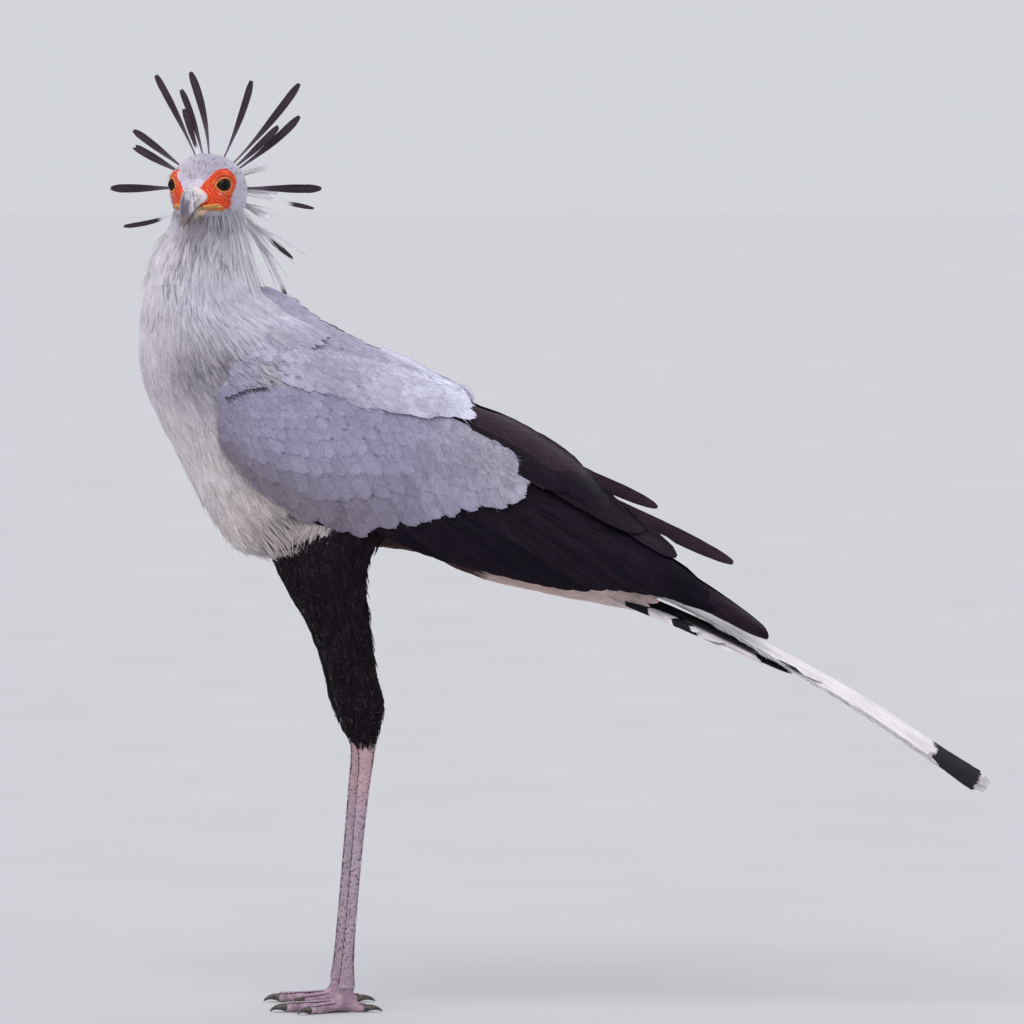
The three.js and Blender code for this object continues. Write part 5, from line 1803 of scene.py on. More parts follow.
TAIL_MARKS = [
    ((0.30, 0.52, 0.1), (0.74, 0.9, 0.1)), ((0.25, 0.45, 0.12), (0.66, 0.76, 0.12)),
    ((0.25, 0.50, 0.12), (2.0, 3.0, 0.15)), ((0.20, 0.45, 0.15), (0.80, 0.96, 0.1)),
    ((-0.1, 0.87, 0.1), (2.0, 3.0, 0.1)),
]
TAIL_ROLL = (0.4, 0.36, 0.32, 0.26, 0.2)
TAIL_DROP = (-3.0, -1.5, 0.0, 3.0, 9.0)
LONG_MARK = (0.672, 0.91, -0.03)
NO_MARK = (2.0, 3.0, 0.0)
# Rows and columns of one vane, and how far its rows bunch at the tip
FLIGHT_GRID = (22, 9, 1.4)
TAIL_GRID = (26, 9, 1.3)
LONG_GRID = (90, 11, 1.0)
CREST_GRID = (30, 7, 1.3)
LONG_ROLL = [(0, 20), (0.35, 25), (0.6, 33), (0.8, 37), (1, 37)]
TAIL_TINT = np.array([0.90, 0.85, 0.88])


def build_tail():
    pile = Pile()
    for order, (tip, out, width) in enumerate(TAIL_PAIRS):
        for side in SIDES:
            number = order * 2 + (side > 0)
            lift = (order + (side > 0) * 0.5) * TAIL_LAYER
            end = np.array([tip[0], side * out, tip[1]], float)
            start = np.array([TAIL_ROOT_AT["x"], side * out * TAIL_ROOT_AT["out"], TAIL_ROOT_AT["z"] + lift])
            middle = (start + end) / 2 + np.array([0, 0, 3.0 + TAIL_DROP[order]])
            laid_out = lay_along(
                lambda share: bezier(start, middle, end, share), (0, 1.0, -side * TAIL_ROLL[order]), width,
                bladed, 91 + order * 2 + side, TAIL_GRID, 0.8, 0.9, 1.5,
            )
            add_marked(pile, laid_out, TAIL_GRID, 12, number, *TAIL_MARKS[order])
    pile.show("tail_feathers", "tail", "tail_plumage", ["tail"])


def add_marked(pile, laid_out, grid, count, number, mark, mark_two):
    """Adds one tail feather, with the places where its two black marks start and end."""
    corners, size = atlas(count)
    pile_feathers(
        pile, laid_out, lens_faces(*grid[:2]), corners[[number]], size, TAIL_TINT[None],
        mark=np.array([[mark]]), mark_two=np.array([[mark_two]]),
    )


def long_width(share):
    shape = 0.6 + 0.3 * ramp(0.1, 0.5, share) + 0.1 * ramp(0.67, 0.85, share)
    return shape * (1 - 0.85 * ramp(0.9, 0.975, share))


def long_line(side):
    points = np.array([(x, side * 8, z + side) for x, z in LONG_TAIL], float)
    return lambda share: smooth(points, share)


def build_long_tail():
    pile = Pile()
    roll = np.radians(np.interp(np.linspace(0, 1, LONG_GRID[0]), *dense(LONG_ROLL)))
    for order, side in enumerate(SIDES):
        laid_out = lay_along(
            long_line(side), stack(0.0, np.cos(roll), np.sin(roll)), LONG_TAIL_WIDTH, long_width,
            101 + side, LONG_GRID, 1.2, 1.3, 2.0,
        )
        add_marked(pile, laid_out, LONG_GRID, 2, order, LONG_MARK, NO_MARK)
    pile.show("long_tail_feathers", "tail", "tail_plumage")
    build_tail_barbs()


def build_tail_barbs():
    """Loose barbs along the lower edge of the long feathers, in bunches, and at their white tips."""
    draw = dice(105)
    roots = Roots()
    for side in SIDES:
        line = long_line(side)
        share = np.sort(draw.uniform(0.16, 0.665, 620))
        bunch = np.sin(share * 150) * 0.5 + np.sin(share * 67) * 0.5
        length = draw.uniform(13, 19, len(share)) + 3 * bunch
        splay = np.radians(25 + 8 * bunch + draw.normal(size=len(share)) * 2)
        near = draw.uniform(0.7, 0.97, len(share))
        ends = draw.uniform(0.89, 0.95, 150)
        rest = np.linalg.norm(line(1.0) - line(ends), axis=1)
        share = np.concatenate([share, ends])
        length = np.concatenate([length, rest * draw.uniform(0.55, 0.95, 150)])
        splay = np.concatenate([splay, np.radians(draw.uniform(-16, 2, 150))])
        near = np.concatenate([near, draw.uniform(-0.6, 0.8, 150)])
        roll = np.radians(np.interp(share, *dense(LONG_ROLL)))
        tangent = unit(line(share + 0.01) - line(share - 0.01))
        wide = stack(0.0, np.cos(roll), np.sin(roll))
        wide = unit(wide - tangent * np.sum(tangent * wide, axis=1, keepdims=True))
        half = LONG_TAIL_WIDTH / 2 * long_width(share)
        points = line(share) - wide * (half * near)[:, None]
        lie = tangent * np.cos(splay)[:, None] - wide * np.sin(splay)[:, None]
        out = np.cross(tangent, wide)
        patch = stack(share, 0.25 + 0.25 * side + 0.2 * near) * 0.9 + 0.05
        shade = np.where(draw.random(len(share)) < 0.3, 0.5, 1.0)[:, None] * TAIL_TINT
        roots.add(points, lie, out, patch, stack(length, 1.0, length), THREAD, shade)
    roots.grow("tail_barbs", "pale", 106)


def crest_line(index):
    """The curve of one crest feather, from under the plumage of the nape to its tip."""
    from_turn, turn, reach, _ = CREST[index]
    bend = CREST_BEND * math.sin(index * 2.4)
    behind = CREST_BEHIND.get(index, 0.0)

    def point(angle, far, more):
        out = np.array([math.sin(math.radians(angle)), 0, math.cos(math.radians(angle))])
        droop = max(0, -out[2]) * CREST_DROOP * min(far, CREST_DROP_FAR)
        lean = CREST_LEAN * (far - CREST_ROOT) - out[0] * far * math.tan(HEAD_TURN)
        return CREST_AT + out * far + np.array([0, behind + droop + lean + more, 0])

    root = point(from_turn, CREST_ROOT, 0)
    middle = point(mix(from_turn, turn, 0.1), reach * 0.55, bend)
    tip = point(turn, reach, bend)
    return lambda share: bezier(root, middle, tip, share)


CREST_DARK = np.array([0.045, 0.030, 0.040])
CREST_PALE = {0: 0.6, 1: 0.25, 5: 0.45, 10: 0.2, 13: 0.78, 14: 0.74, 15: 0.92, 16: 1.2, 17: 1.2, 18: 1.2}


def build_crest(settings):
    corners, size = atlas(len(CREST))
    pile = Pile()
    for index, (_, _, _, width) in enumerate(CREST):
        line = crest_line(index)
        across = unit(np.cross(line(0.6) - line(0.4), np.array([0, 1.0, 0.25 * math.sin(index * 1.7)])))
        laid_out = lay_along(
            line, across, width * settings.crest_width, paddled, 111 + index, CREST_GRID, 1.4, 1.2, -0.8,
        )
        pile_feathers(
            pile, laid_out, lens_faces(*CREST_GRID[:2]), corners[[index]], size, CREST_DARK[None],
            pale=np.array([[[CREST_PALE.get(index, 0.0)]]]),
        )
    pile.show("crest", "crest", "black_plumage")
    build_nape_wisps()


def build_nape_wisps():
    """White threads along the lowest feathers of the crest."""
    roots = Roots()
    draw = dice(121)
    for index in (16, 17, 18, 14, 15):
        line = crest_line(index)
        count = 40 if index > 15 else 16
        share = draw.uniform(0.1, 0.5, count)
        tangent = unit(line(share + 0.05) - line(share)) + draw.normal(size=(count, 3)) * 0.1
        reach = np.linalg.norm(line(1.0) - line(0.0)) * draw.uniform(0.3, 0.6, count)
        patch = stack(share, index / 20)
        out = np.tile([-0.2, -0.7, 1.0], (count, 1))
        roots.add(line(share), tangent, out, patch, stack(reach, 1.5, reach), THREAD, (1.0, 0.97, 1.0))
    roots.grow("nape_wisps", "pale", 122)


# Face

# Edge of the bare skin, seen straight at the eye: towards the back of the head, and upwards
BARE_EDGE = [
    (-28, -8.5), (-22.5, 0.8), (-18.4, 6.0), (-9, 15.0), (-2.2, 18.0), (4, 18.4), (12, 16),
    (18, 10), (19, 3), (16, -4), (12, -9.5), (9.5, -15), (11.5, -22), (9, -26.5), (2, -29.5),
    (-13.3, -29.5), (-23, -27), (-28, -18),
]
EYE_SHIFT = {"ahead": -1.0, "left": 0.7, "above": 0.7}
GAPE = [(43, 13, -24.0), (36, 17, -23.2), (29.4, 25.2, -22.0), (20.9, 31.6, -22.6), (14.7, 34.1, -24.4)]
LID = {"long": 9.1, "high": 7.9, "tilt": 8.0, "ball": 8.6}
# Across a lid, from inside the opening over the swollen lip and down into the skin: how far out each
# line of points is from the opening, and how far it rises
LID_LINES = np.array([
    (-1.4, -1.8), (-0.9, -0.3), (-0.35, 0.75), (0.15, 1.2), (0.7, 0.9), (1.3, 0.0), (2.0, -0.1), (2.8, 0.6),
    (3.7, 0.5), (4.6, -0.3), (5.4, -1.6), (4.4, -3.0), (2.6, -3.4), (0.6, -3.4), (-0.9, -3.0),
])


def eye_centre(side):
    ahead, left, above = (EYE[way] + EYE_SHIFT[way] for way in ("ahead", "left", "above"))
    return head_point(ahead, -side * left, above)


def eye_ways(side):
    """Out of the eye, towards the back of the head, and up."""
    turn = math.radians(EYE["facing"])
    out = HEAD_AHEAD * math.cos(turn) - HEAD_LEFT * side * math.sin(turn)
    back = -HEAD_AHEAD * math.sin(turn) - HEAD_LEFT * side * math.cos(turn)
    return out, back, UP


def seen_from_eye(points, side):
    """How far places are out of the eye, towards the back of the head, and up."""
    away = points - eye_centre(side)
    return [away @ way for way in eye_ways(side)]


def edge_distance(across, up, edge):
    """Distance to a closed edge, less than nothing inside it."""
    place = stack(across, up)
    first = np.array(edge, float)
    second = np.roll(first, -1, axis=0)
    nearest = np.full(len(place), 1e9)
    inside = np.zeros(len(place), bool)
    for a, b in zip(first, second):
        share = np.clip(((place - a) @ (b - a)) / ((b - a) @ (b - a)), 0, 1)
        nearest = np.minimum(nearest, np.linalg.norm(place - a - share[:, None] * (b - a), axis=1))
        crosses = (a[1] > place[:, 1]) != (b[1] > place[:, 1])
        slope = (b[0] - a[0]) / (b[1] - a[1]) if b[1] != a[1] else 0
        inside ^= crosses & (place[:, 0] < a[0] + (place[:, 1] - a[1]) * slope)
    return np.where(inside, -nearest, nearest)


def bare_near(points):
    """Distance of places on the head from the bare skin of the nearer side."""
    ahead, left, _ = in_head(points)
    near = np.full(len(points), 1e3)
    for side in SIDES:
        out, across, up = seen_from_eye(points, side)
        across = across * np.where((across < 0) & (side > 0), 1.3, 1.0)
        away = edge_distance(across, up, BARE_EDGE) + 0.8 * ripple(points, 4, 7)
        same = (left * -side > -4) & (out > -26) & (ahead > -6)
        near = np.where(same, np.minimum(near, away), near)
    return near


def bare_share(points):
    return 1 - ramp(-0.6, 0.6, bare_near(points))


def build_eyes():
    for side in SIDES:
        centre = eye_centre(side)
        out, back, up = eye_ways(side)
        turn = circle(48)
        tilt = np.linspace(0.02, np.pi - 0.02, 40)
        radius = EYE["radius"] + 0.9 * np.exp(-(tilt / 0.42) ** 2)
        spin = back[None] * np.cos(turn)[:, None] + up[None] * np.sin(turn)[:, None]
        ahead, aside = (np.cos(tilt) * radius)[:, None, None], (np.sin(tilt) * radius)[:, None, None]
        ring = out * ahead + spin[None] * aside
        pile = Pile().loft(
            centre + ring,
            away=lambda points: np.degrees(np.arccos(np.clip(unit(points - centre) @ out, -1, 1)))[:, None],
        )
        pile.show("eyeball_" + SIDE_NAMES[side], "eye", "eye", ["eye_" + SIDE_NAMES[side]])


def build_lids():
    """A swollen rim round each eye that runs out into the folds of the bare skin."""
    turn = circle(96)[None]
    steps, rise = LID_LINES[:, :1], LID_LINES[:, 1:]
    tilt = math.radians(LID["tilt"])
    corner = 1 + 0.13 * np.exp(-((turn - np.pi) / 0.35) ** 2)
    wide = (LID["long"] * corner + steps) * np.cos(turn)
    high = (LID["high"] + steps) * np.sin(turn)
    across = wide * math.cos(tilt) - high * math.sin(tilt)
    height = wide * math.sin(tilt) + high * math.cos(tilt)
    reach = np.hypot(across, height)
    ball = np.sqrt(np.clip(EYE["radius"] ** 2 - np.minimum(reach, LID["ball"]) ** 2, 0, None))
    slope = -0.16 * np.clip(reach - LID["ball"], 0, 6) - 0.012 * np.clip(across, 0, None) ** 2
    fold = 0.25 * np.sin(turn * 9) * ramp(1.5, 3, steps) * ramp(5.3, 4, steps)
    depth = ball + 0.9 + rise + slope + fold
    lip = np.exp(-((steps - 0.1) / 0.8) ** 2) * (rise > -1)
    # The last line of points joins the first, so that each lid is a closed ring
    faces = open_faces(len(steps) + 1, turn.size, True) % depth.size
    for side in SIDES:
        out, back, up = eye_ways(side)
        rings = eye_centre(side) + out * depth[..., None] + back * across[..., None] + up * height[..., None]
        pile = Pile()
        pile.add(rings.reshape(-1, 3), faces, lip=np.repeat(lip, turn.size)[:, None])
        pile.show("lids_" + SIDE_NAMES[side], "lid", "leg_skin")


def build_gape():
    """The swollen edges of the mouth, from the root of the bill back to its corner on each cheek."""
    for side in SIDES:
        pile = Pile()
        for drop, thick, pale in ((0.8, 1.3, 0.8), (-1.5, 1.6, 1.7)):
            line = [head_point(ahead, -side * left, above + drop) for ahead, left, above in GAPE]
            rings = tube(
                lambda share: smooth(line, share),
                lambda share: thick * np.sqrt(1.02 - share ** 2) * (1 + 0.08 * np.sin(share * 30)), 34, 12,
            )
            pile.loft(
                rings, lip=lambda points: mix(pale, 0.1 * pale, ramp(34, 22, in_head(points)[0]))[:, None],
            )
        pile.show("gape_" + SIDE_NAMES[side], "lid", "leg_skin")


def face_tint_and_highlight(points):
    """Colour of the bare skin: red orange, with painted orange highlights over a ripple like folds, yellower
    under the mouth and crusted round the bill.
    """
    ahead, _, above = in_head(points)
    # The ripple lays painted orange highlights over the red skin
    painted_highlight = ripple(points, 5.0, 153)[:, None]
    colour = mix((0.72, 0.035, 0.008), (0.90, 0.15, 0.02), ramp(-0.3, 0.9, painted_highlight))
    under = ramp(-24.5, -27.5, above)[:, None] * ramp(6, 14, ahead)[:, None]
    colour = mix(colour, (0.66, 0.30, 0.085), 0.9 * under)
    crust = ramp(37, 41, ahead + 2.5 * ripple(points, 4, 154))[:, None] * ramp(-26, -20, above)[:, None]
    colour = mix(colour, (0.80, 0.60, 0.52), 0.8 * crust)
    for side in SIDES:
        out, across, up = seen_from_eye(points, side)
        ledge = np.exp(-((up + 10.9 - 0.03 * across ** 2) / 1.1) ** 2)
        ledge = ledge * ramp(9, 4, np.abs(across)) * (out > -8)
        ledge = ledge * mix(0.35, 0.8, ramp(-0.5, 0.5, ripple(points, 3.0, 155)))
        colour = mix(colour, (0.82, 0.66, 0.56), ledge[:, None])
    return colour


def build_lashes():
    """Short stiff lashes along the upper lids."""
    draw = dice(131)
    roots = Roots()
    for side in SIDES:
        out, back, up = eye_ways(side)
        turn = np.radians(np.linspace(28, 158, 15))
        across, height = 9.0 * np.cos(turn), 7.9 * np.sin(turn)
        points = eye_centre(side) + out * 6.9 + back * across[:, None] + up * height[:, None]
        lie = out * 0.8 + back * across[:, None] * 0.08 + up * (0.25 + height[:, None] * 0.06)
        lie = lie + draw.normal(size=lie.shape) * 0.06
        size = stack(np.full(15, 6.5) * draw.uniform(0.8, 1.2, 15), 0.55, 0.55 * 4)
        patch = stack(0.3 + 0.4 * (side > 0), turn / np.pi)
        roots.add(points, lie, np.tile(up, (15, 1)), patch, size, THREAD, BLACK, brown=0.0)
    roots.grow("lashes", "flight", 132)


# Bill

def bill_rings(stations, steps, sides, flat):
    """Rings of one half of the bill, smooth between its stations."""
    share = np.linspace(0, 1, steps)
    ahead, top, low, half = np.moveaxis(smooth(stations, share), -1, 0)
    turn = circle(sides)
    height = (np.cos(turn) + 1) / 2
    wide = np.sin(turn) * (1.12 - 0.24 * height if flat else 1.0)
    above = low[:, None] + (top - low)[:, None] * height[None]
    return ahead[:, None] + 0 * above, half[:, None] * wide[None], above


def build_bill():
    steps, sides = 46, 40
    ahead, left, above = bill_rings(UPPER_BILL, steps, sides, True)
    ridge = ramp(0.5, 1.0, (above - above.min(axis=1, keepdims=True)) / np.ptp(above, axis=1)[:, None])
    left = left * (1 - 0.1 * ridge)
    low = np.linspace(0, 1, 12)[1:-1, None]
    close = 1 - (1 - low) ** 0.8
    tail = [mix(part[-1][None], end, 0.97 * close) for part, end in
            ((ahead, HOOK["ahead"]), (left, 0.0), (above, HOOK["above"]))]
    ahead, left, above = (np.vstack([part, more]) for part, more in zip((ahead, left, above), tail))
    # The soft cere swells over the root of the bill, and the nostril is a slanted slit in it
    cere = ramp(51, 41, ahead)
    swell = 1 + 0.07 * cere
    away = np.hypot((ahead - NOSTRIL["ahead"] + 0.35 * (above - NOSTRIL["above"])) / NOSTRIL["long"],
                    (above - NOSTRIL["above"]) / NOSTRIL["high"])
    dent = np.exp(-away ** 2 * 1.3) * NOSTRIL["deep"]
    ring = np.exp(-((away - 1.6) / 0.5) ** 2) * 0.5
    left = np.sign(left) * np.maximum(np.abs(left) * swell - dent + ring, 0.0)
    above = above + cere * 0.4
    rings = head_point(ahead, left, above)
    rough = ripple(rings.reshape(-1, 3), 3.2, 141).reshape(rings.shape[:2])
    centre = rings.mean(axis=1, keepdims=True)
    rings = rings + unit(rings - centre) * (0.22 * rough * ramp(62, 45, ahead))[..., None]
    lower = head_point(*bill_rings(LOWER_BILL, 24, 32, False))
    for name, part, tip, node in (
        ("bill_top", rings, (HOOK["ahead"], 0.0, HOOK["above"]), "bill_upper"),
        ("bill_bottom", lower, (58.3, 0.0, -40.5), "bill_lower"),
    ):
        pile = Pile().loft(part, head_point(*tip), spot=lambda points: stack(*in_head(points)))
        pile.show(name, "bill", "bill_horn", [node])


# Claws

def toe_line(side, toe):
    turn = math.radians(toe["turn"])
    out = np.array([-math.cos(turn), side * math.sin(turn), 0.0])
    low = toe["thick"] * math.cos(math.pi / 8) - SOLE_CUT
    start = np.array([FOOT_X + leg_shift(side), side * LEG_Y, low + 4])
    end = start + out * toe["length"]
    end[2] = low
    knuckle = start + out * toe["length"] * 0.4
    knuckle[2] = low
    return start, knuckle, end, out


def tube(line, radius, steps, sides, squash=1.0):
    """Rings round a curve that stays upright: line and radius are read at shares."""
    share = np.linspace(0, 1, steps)
    middle = line(share)
    tangent = unit(line(np.clip(share + 0.01, 0, 1)) - line(np.clip(share - 0.01, 0, 1)))
    aside = unit(np.cross(UP, tangent))
    up = np.cross(tangent, aside)
    turn = circle(sides)
    spoke = aside[:, None] * np.cos(turn)[:, None] + up[:, None] * np.sin(turn)[:, None] * squash
    return middle[:, None] + spoke * radius(share)[:, None, None]


def build_claws():
    for side in SIDES:
        for number, toe in TOES.items():
            _, _, end, out = toe_line(side, toe)
            root = end - out * CLAW["buried"]
            bend = end + out * toe["claw"] * 0.6
            bend[2] = end[2] + CLAW["arch"]
            tip = end + out * toe["claw"]
            tip[2] = CLAW["tip_height"]
            rings = tube(
                lambda share: bezier(root, bend, tip, share),
                lambda share: toe["thick"] * CLAW["start"] * (1 - share) ** 0.9 + CLAW["end"], 18, 16,
            )
            place = f"{SIDE_NAMES[side]}_{number}"
            Pile().loft(rings).show("claw_horn_" + place, "claw", "claw_horn", ["claw_" + place])


# Skin

SKIN_NODES = ["head", "neck", "torso", "thigh_left", "thigh_right", "tarsus_left", "tarsus_right",
              "foot_left", "foot_right", "wing_left", "wing_right"]


def wing_core(side):
    """A closed body under the feathers of a folded wing, which meets the other one inside the bird."""
    x = np.linspace(-370, 70, 40)[:, None]
    share = np.linspace(0, 1, 18)[None]
    low = np.interp(x, *LOWER_EDGE) + 9
    top = np.interp(x, *UPPER_EDGE) - 6
    z = mix(low, top, share)
    x = x + 0 * z
    outer = wing_point(side, x, z, -4.0)
    inner = outer.copy()
    inner[..., 1] = -3.0 * side
    return np.concatenate([outer, inner[:, ::-1]], axis=1)


def flesh():
    """Closed bodies that are joined and smoothed into the skin."""
    pile = Pile().loft(BODY.rings(90, 40, -5.0)).loft(HEAD.rings(40, 48, -0.8))
    for side in SIDES:
        pile.loft(wing_core(side))
        pile.loft(leg_run(THIGH, side).rings(40, 28, -3.0))
        pile.loft(leg_run(TARSUS, side).rings(60, 24))
        heel = np.array([FOOT_X + leg_shift(side), side * LEG_Y, PALM["height"]])
        tilt = np.linspace(0.05, np.pi - 0.05, 16)[:, None]
        turn = circle(24)[None]
        aside = np.sin(tilt) * np.sin(turn) * 0.95
        ball = stack(np.sin(tilt) * np.cos(turn), aside, np.cos(tilt) * PALM["stretch"])
        pile.loft(heel + ball * PALM["radius"])
        for toe in TOES.values():
            start, knuckle, end, _ = toe_line(side, toe)
            pile.loft(tube(
                lambda share: bezier(start, knuckle, end, share),
                lambda share: toe["thick"] * (1 - 0.1 * share) * (1 + 0.07 * np.cos(share * 6 * np.pi)),
                30, 18,
            ))
    return pile.mesh("flesh")


def remeshed(mesh, voxel):
    def fill(modifier):
        modifier.mode = "VOXEL"
        modifier.voxel_size = voxel
        modifier.use_smooth_shade = True

    return through_modifier(mesh, "REMESH", fill)


def relax(mesh, rounds, strength=0.5):
    """Smooths a mesh by moving each vertex towards the middle of its neighbours."""
    ends = read(mesh.edges, "vertices", 2, np.int32)
    first, second = ends.T
    count = np.bincount(ends.ravel(), minlength=len(mesh.vertices))[:, None]
    points = read_points(mesh)
    for _ in range(rounds):
        total = np.zeros_like(points)
        for axis in range(3):
            total[:, axis] = np.bincount(first, points[second, axis], len(points))
            total[:, axis] += np.bincount(second, points[first, axis], len(points))
        points = mix(points, total / count, strength)
    write_points(mesh, points)


def refine_face(mesh, times):
    """Splits the faces round the eyes and the bill, where the skin shows."""
    for _ in range(times):
        work = bmesh.new()
        work.from_mesh(mesh)
        middles = np.array([face.calc_center_median() for face in work.faces]) / MM
        ahead, _, above = in_head(middles)
        picked = (ahead > 2) & (ahead < 60) & (above < 24) & (above > -44) & (bare_near(middles) < 5)
        faces = [face for face, pick in zip(work.faces, picked) if pick]
        edges = list({edge for face in faces for edge in face.edges})
        bmesh.ops.subdivide_edges(work, edges=edges, cuts=1, use_grid_fill=True, smooth=0.0)
        work.to_mesh(mesh)
        work.free()


def wrinkle(mesh, depth):
    """Folds in the bare skin that run round the eyes, and a brow over each."""
    points = read_points(mesh)
    normals = read(mesh.vertices, "normal", 3)
    bare = bare_share(points)
    lift = np.zeros(len(points))
    for side in SIDES:
        out, across, up = seen_from_eye(points, side)
        near = (out > -20) & (in_head(points)[1] * -side > -2)
        reach = np.hypot(across, up * 1.15)
        warp = ripple(points, 14, 151) * 2.2
        rings = np.sin((reach + warp) * TURN / 2.6) * ramp(30, 12, reach) * ramp(9, 12, reach)
        grain = ripple(points, 2.2, 152)
        brow = 3.2 * np.exp(-((reach - 15.0) / 2.4) ** 2) * ramp(1, 7, up)
        lift += near * (bare * depth * (0.6 * rings + 0.4 * grain) + brow * bare)
    write_points(mesh, points + normals * lift[:, None])


def stand(mesh):
    """Lifts what is below the floor up to it, and gives the points."""
    points = read_points(mesh)
    points[:, 2] = np.maximum(points[:, 2], 0.0)
    write_points(mesh, points)
    return points


def build_skin(settings):
    mesh = remeshed(flesh(), settings.voxel)
    stand(mesh)
    relax(mesh, 4)
    refine_face(mesh, 2)
    relax(mesh, 1, 0.4)
    wrinkle(mesh, settings.wrinkle / MM)
    points = stand(mesh)
    tint = mix(plumage_tint(points) * 0.8, THIGH_BLACK, thigh_share(points)[:, None])
    add_values(mesh, "tint", rgba(tint))
    add_values(mesh, "bare", bare_share(points))
    add_values(mesh, "flush", rgba(face_tint_and_highlight(points)))
    add_values(mesh, "leg", ramp(312, 300, points[:, 2]))
    show("skin", mesh, "skin", SKIN_NODES)


def plate_stations(run, turn, gap):
    """Stations of one row of plates down a shank, a gap apart."""
    at, found = [], 0.25
    while found < run.last - 0.15:
        at.append(found)
        ahead = run.point(min(found + 0.1, run.last), turn)
        found += gap / (np.linalg.norm(ahead - run.point(found, turn)) / 0.1)
    return np.array(at)


def build_scales():
    """Plates down the shanks and over the toes."""
    roots = Roots()
    draw = dice(161)
    for side in SIDES:
        run = leg_run(TARSUS, side)
        for turn, gap, wide in ((0.0, 6.4, 9.5), (math.pi, 6.8, 8.0)):
            at = plate_stations(run, turn, gap)
            add_plates(roots, run, at, np.full(len(at), turn), (gap * 1.2, wide, 0.8), draw)
        at, turn = scattered(run, 0.2, run.last - 0.05, 3.1, 2.8, 162)
        aside = np.abs(np.sin(turn)) > 0.62
        add_plates(roots, run, at[aside], turn[aside], (4.2, 3.7, 0.45), draw)
        for toe in TOES.values():
            start, knuckle, end, out = toe_line(side, toe)
            count = int(toe["length"] / 4.6)
            share = (np.arange(count) + 0.7) / (count + 0.4)
            top = bezier(start, knuckle, end, share) + UP * (toe["thick"] * (1 - 0.1 * share[:, None]) - 0.2)
            ways = (np.tile(way, (count, 1)) for way in (out - UP * 0.06, UP))
            patch = stack(share, 0.1 + toe["turn"] / 400 + 0.4)
            roots.add(top, *ways, patch, (5.4, toe["thick"] * 1.25, 1.1), PLATE, leg_tint(top))
    roots.grow("leg_scales", "scale", 163, 0.06)


def add_plates(roots, run, at, turn, size, draw):
    points = run.point(at, turn, -0.1)
    wide = np.array(size) * draw.uniform(0.93, 1.07, (len(at), 1))
    wide[:, 1] *= np.interp(at, [0, 2, 4.5, 6], [1.5, 1.0, 1.0, 1.3])
    wide[:, 2] *= mix(1.0, 0.3, ramp(run.last - 1, run.last - 0.3, at))
    roots.add(points, *run.ways(at, turn), run.patch(at, turn), wide, PLATE, leg_tint(points))


def leg_tint(points):
    """Mauve pink shanks, browner and duller towards the ground."""
    low, middle, high = np.array([(0.34, 0.23, 0.31), (0.41, 0.31, 0.39), (0.54, 0.34, 0.38)])
    colour = mix(low, middle, ramp(10, 130, points[:, 2])[:, None])
    colour = mix(colour, high, ramp(200, 270, points[:, 2])[:, None])
    return colour * (1 + 0.08 * ripple(points, 18, 9))[:, None]


# Studio

def soft_light(name, comes_from, spread, power, colour):
    """A wide soft light that is the same all over the floor."""
    lamp = bpy.data.lights.new(name, "SUN")
    lamp.angle = math.radians(spread)
    lamp.energy = power
    lamp.color = colour
    holder = bpy.data.objects.new(name, lamp)
    holder.location = Vector(comes_from)
    holder.rotation_euler = (-Vector(comes_from)).to_track_quat("-Z", "Y").to_euler()
    bpy.context.scene.collection.objects.link(holder)


def build_studio(settings):
    scene = bpy.context.scene
    reach = settings.floor_size / 2
    corners = np.array([(-1, -1, 0), (1, -1, 0), (1, 1, 0), (-1, 1, 0)]) * reach / MM
    floor = bpy.data.objects.new("studio_floor", mesh_of("studio_floor", corners, [(0, 1, 2, 3)]))
    floor.data.materials.append(floor_finish(tuple(settings.floor_colour)))
    scene.collection.objects.link(floor)
    floor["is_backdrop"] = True
    world = bpy.data.worlds.new("Studio")
    scene.world = world
    world.use_nodes = True
    sky = world.node_tree.nodes["Background"]
    sky.inputs["Color"].default_value = (*settings.sky_colour, 1)
    sky.inputs["Strength"].default_value = settings.sky_strength
    key = settings.key_power
    soft_light("key", (-1.2, -2.0, 3.4), 45, key, (1.0, 0.98, 0.96))
    soft_light("fill", (2.2, -3.0, 1.2), 70, key * 0.22, (0.96, 0.97, 1.0))
    soft_light("back", (0.8, 2.6, 3.0), 50, key * 0.4, (0.98, 0.98, 1.0))
    tilt = math.radians(settings.elevation)
    target = Vector(settings.target)
    camera = bpy.data.cameras.new("camera")
    camera.lens = settings.lens
    camera.sensor_width = settings.sensor
    camera.clip_end = 100
    holder = bpy.data.objects.new("camera", camera)
    holder.location = target + Vector((0, -math.cos(tilt), math.sin(tilt))) * settings.distance
    holder.rotation_euler = (math.pi / 2 - tilt, 0, 0)
    scene.collection.objects.link(holder)
    scene.camera = holder
    scene.view_settings.view_transform = "Standard"


# Settings

class BirdCoat(bpy.types.PropertyGroup):
    """Lengths of the small feathers."""

    head_gap: FloatProperty(
        name="Head gap", description="Distance between feathers on the head", default=0.0026, unit="LENGTH")
    head_length: FloatProperty(
        name="Head feathers", description="Length of a feather of the crown", default=0.0095, unit="LENGTH")
    neck_length: FloatProperty(
        name="Neck feathers", description="Length of a feather of the neck", default=0.033, unit="LENGTH")
    body_length: FloatProperty(
        name="Breast feathers", description="Length of a feather of the breast",
        default=0.033, unit="LENGTH")
    thigh_length: FloatProperty(
        name="Thigh feathers", description="Length of a feather of the thigh", default=0.019, unit="LENGTH")
    covert_scale: FloatProperty(
        name="Covert width", description="Width of the wing coverts against their usual width", default=1.0)
    crest_width: FloatProperty(
        name="Crest width", description="Width of the crest feathers against their usual width", default=1.0)


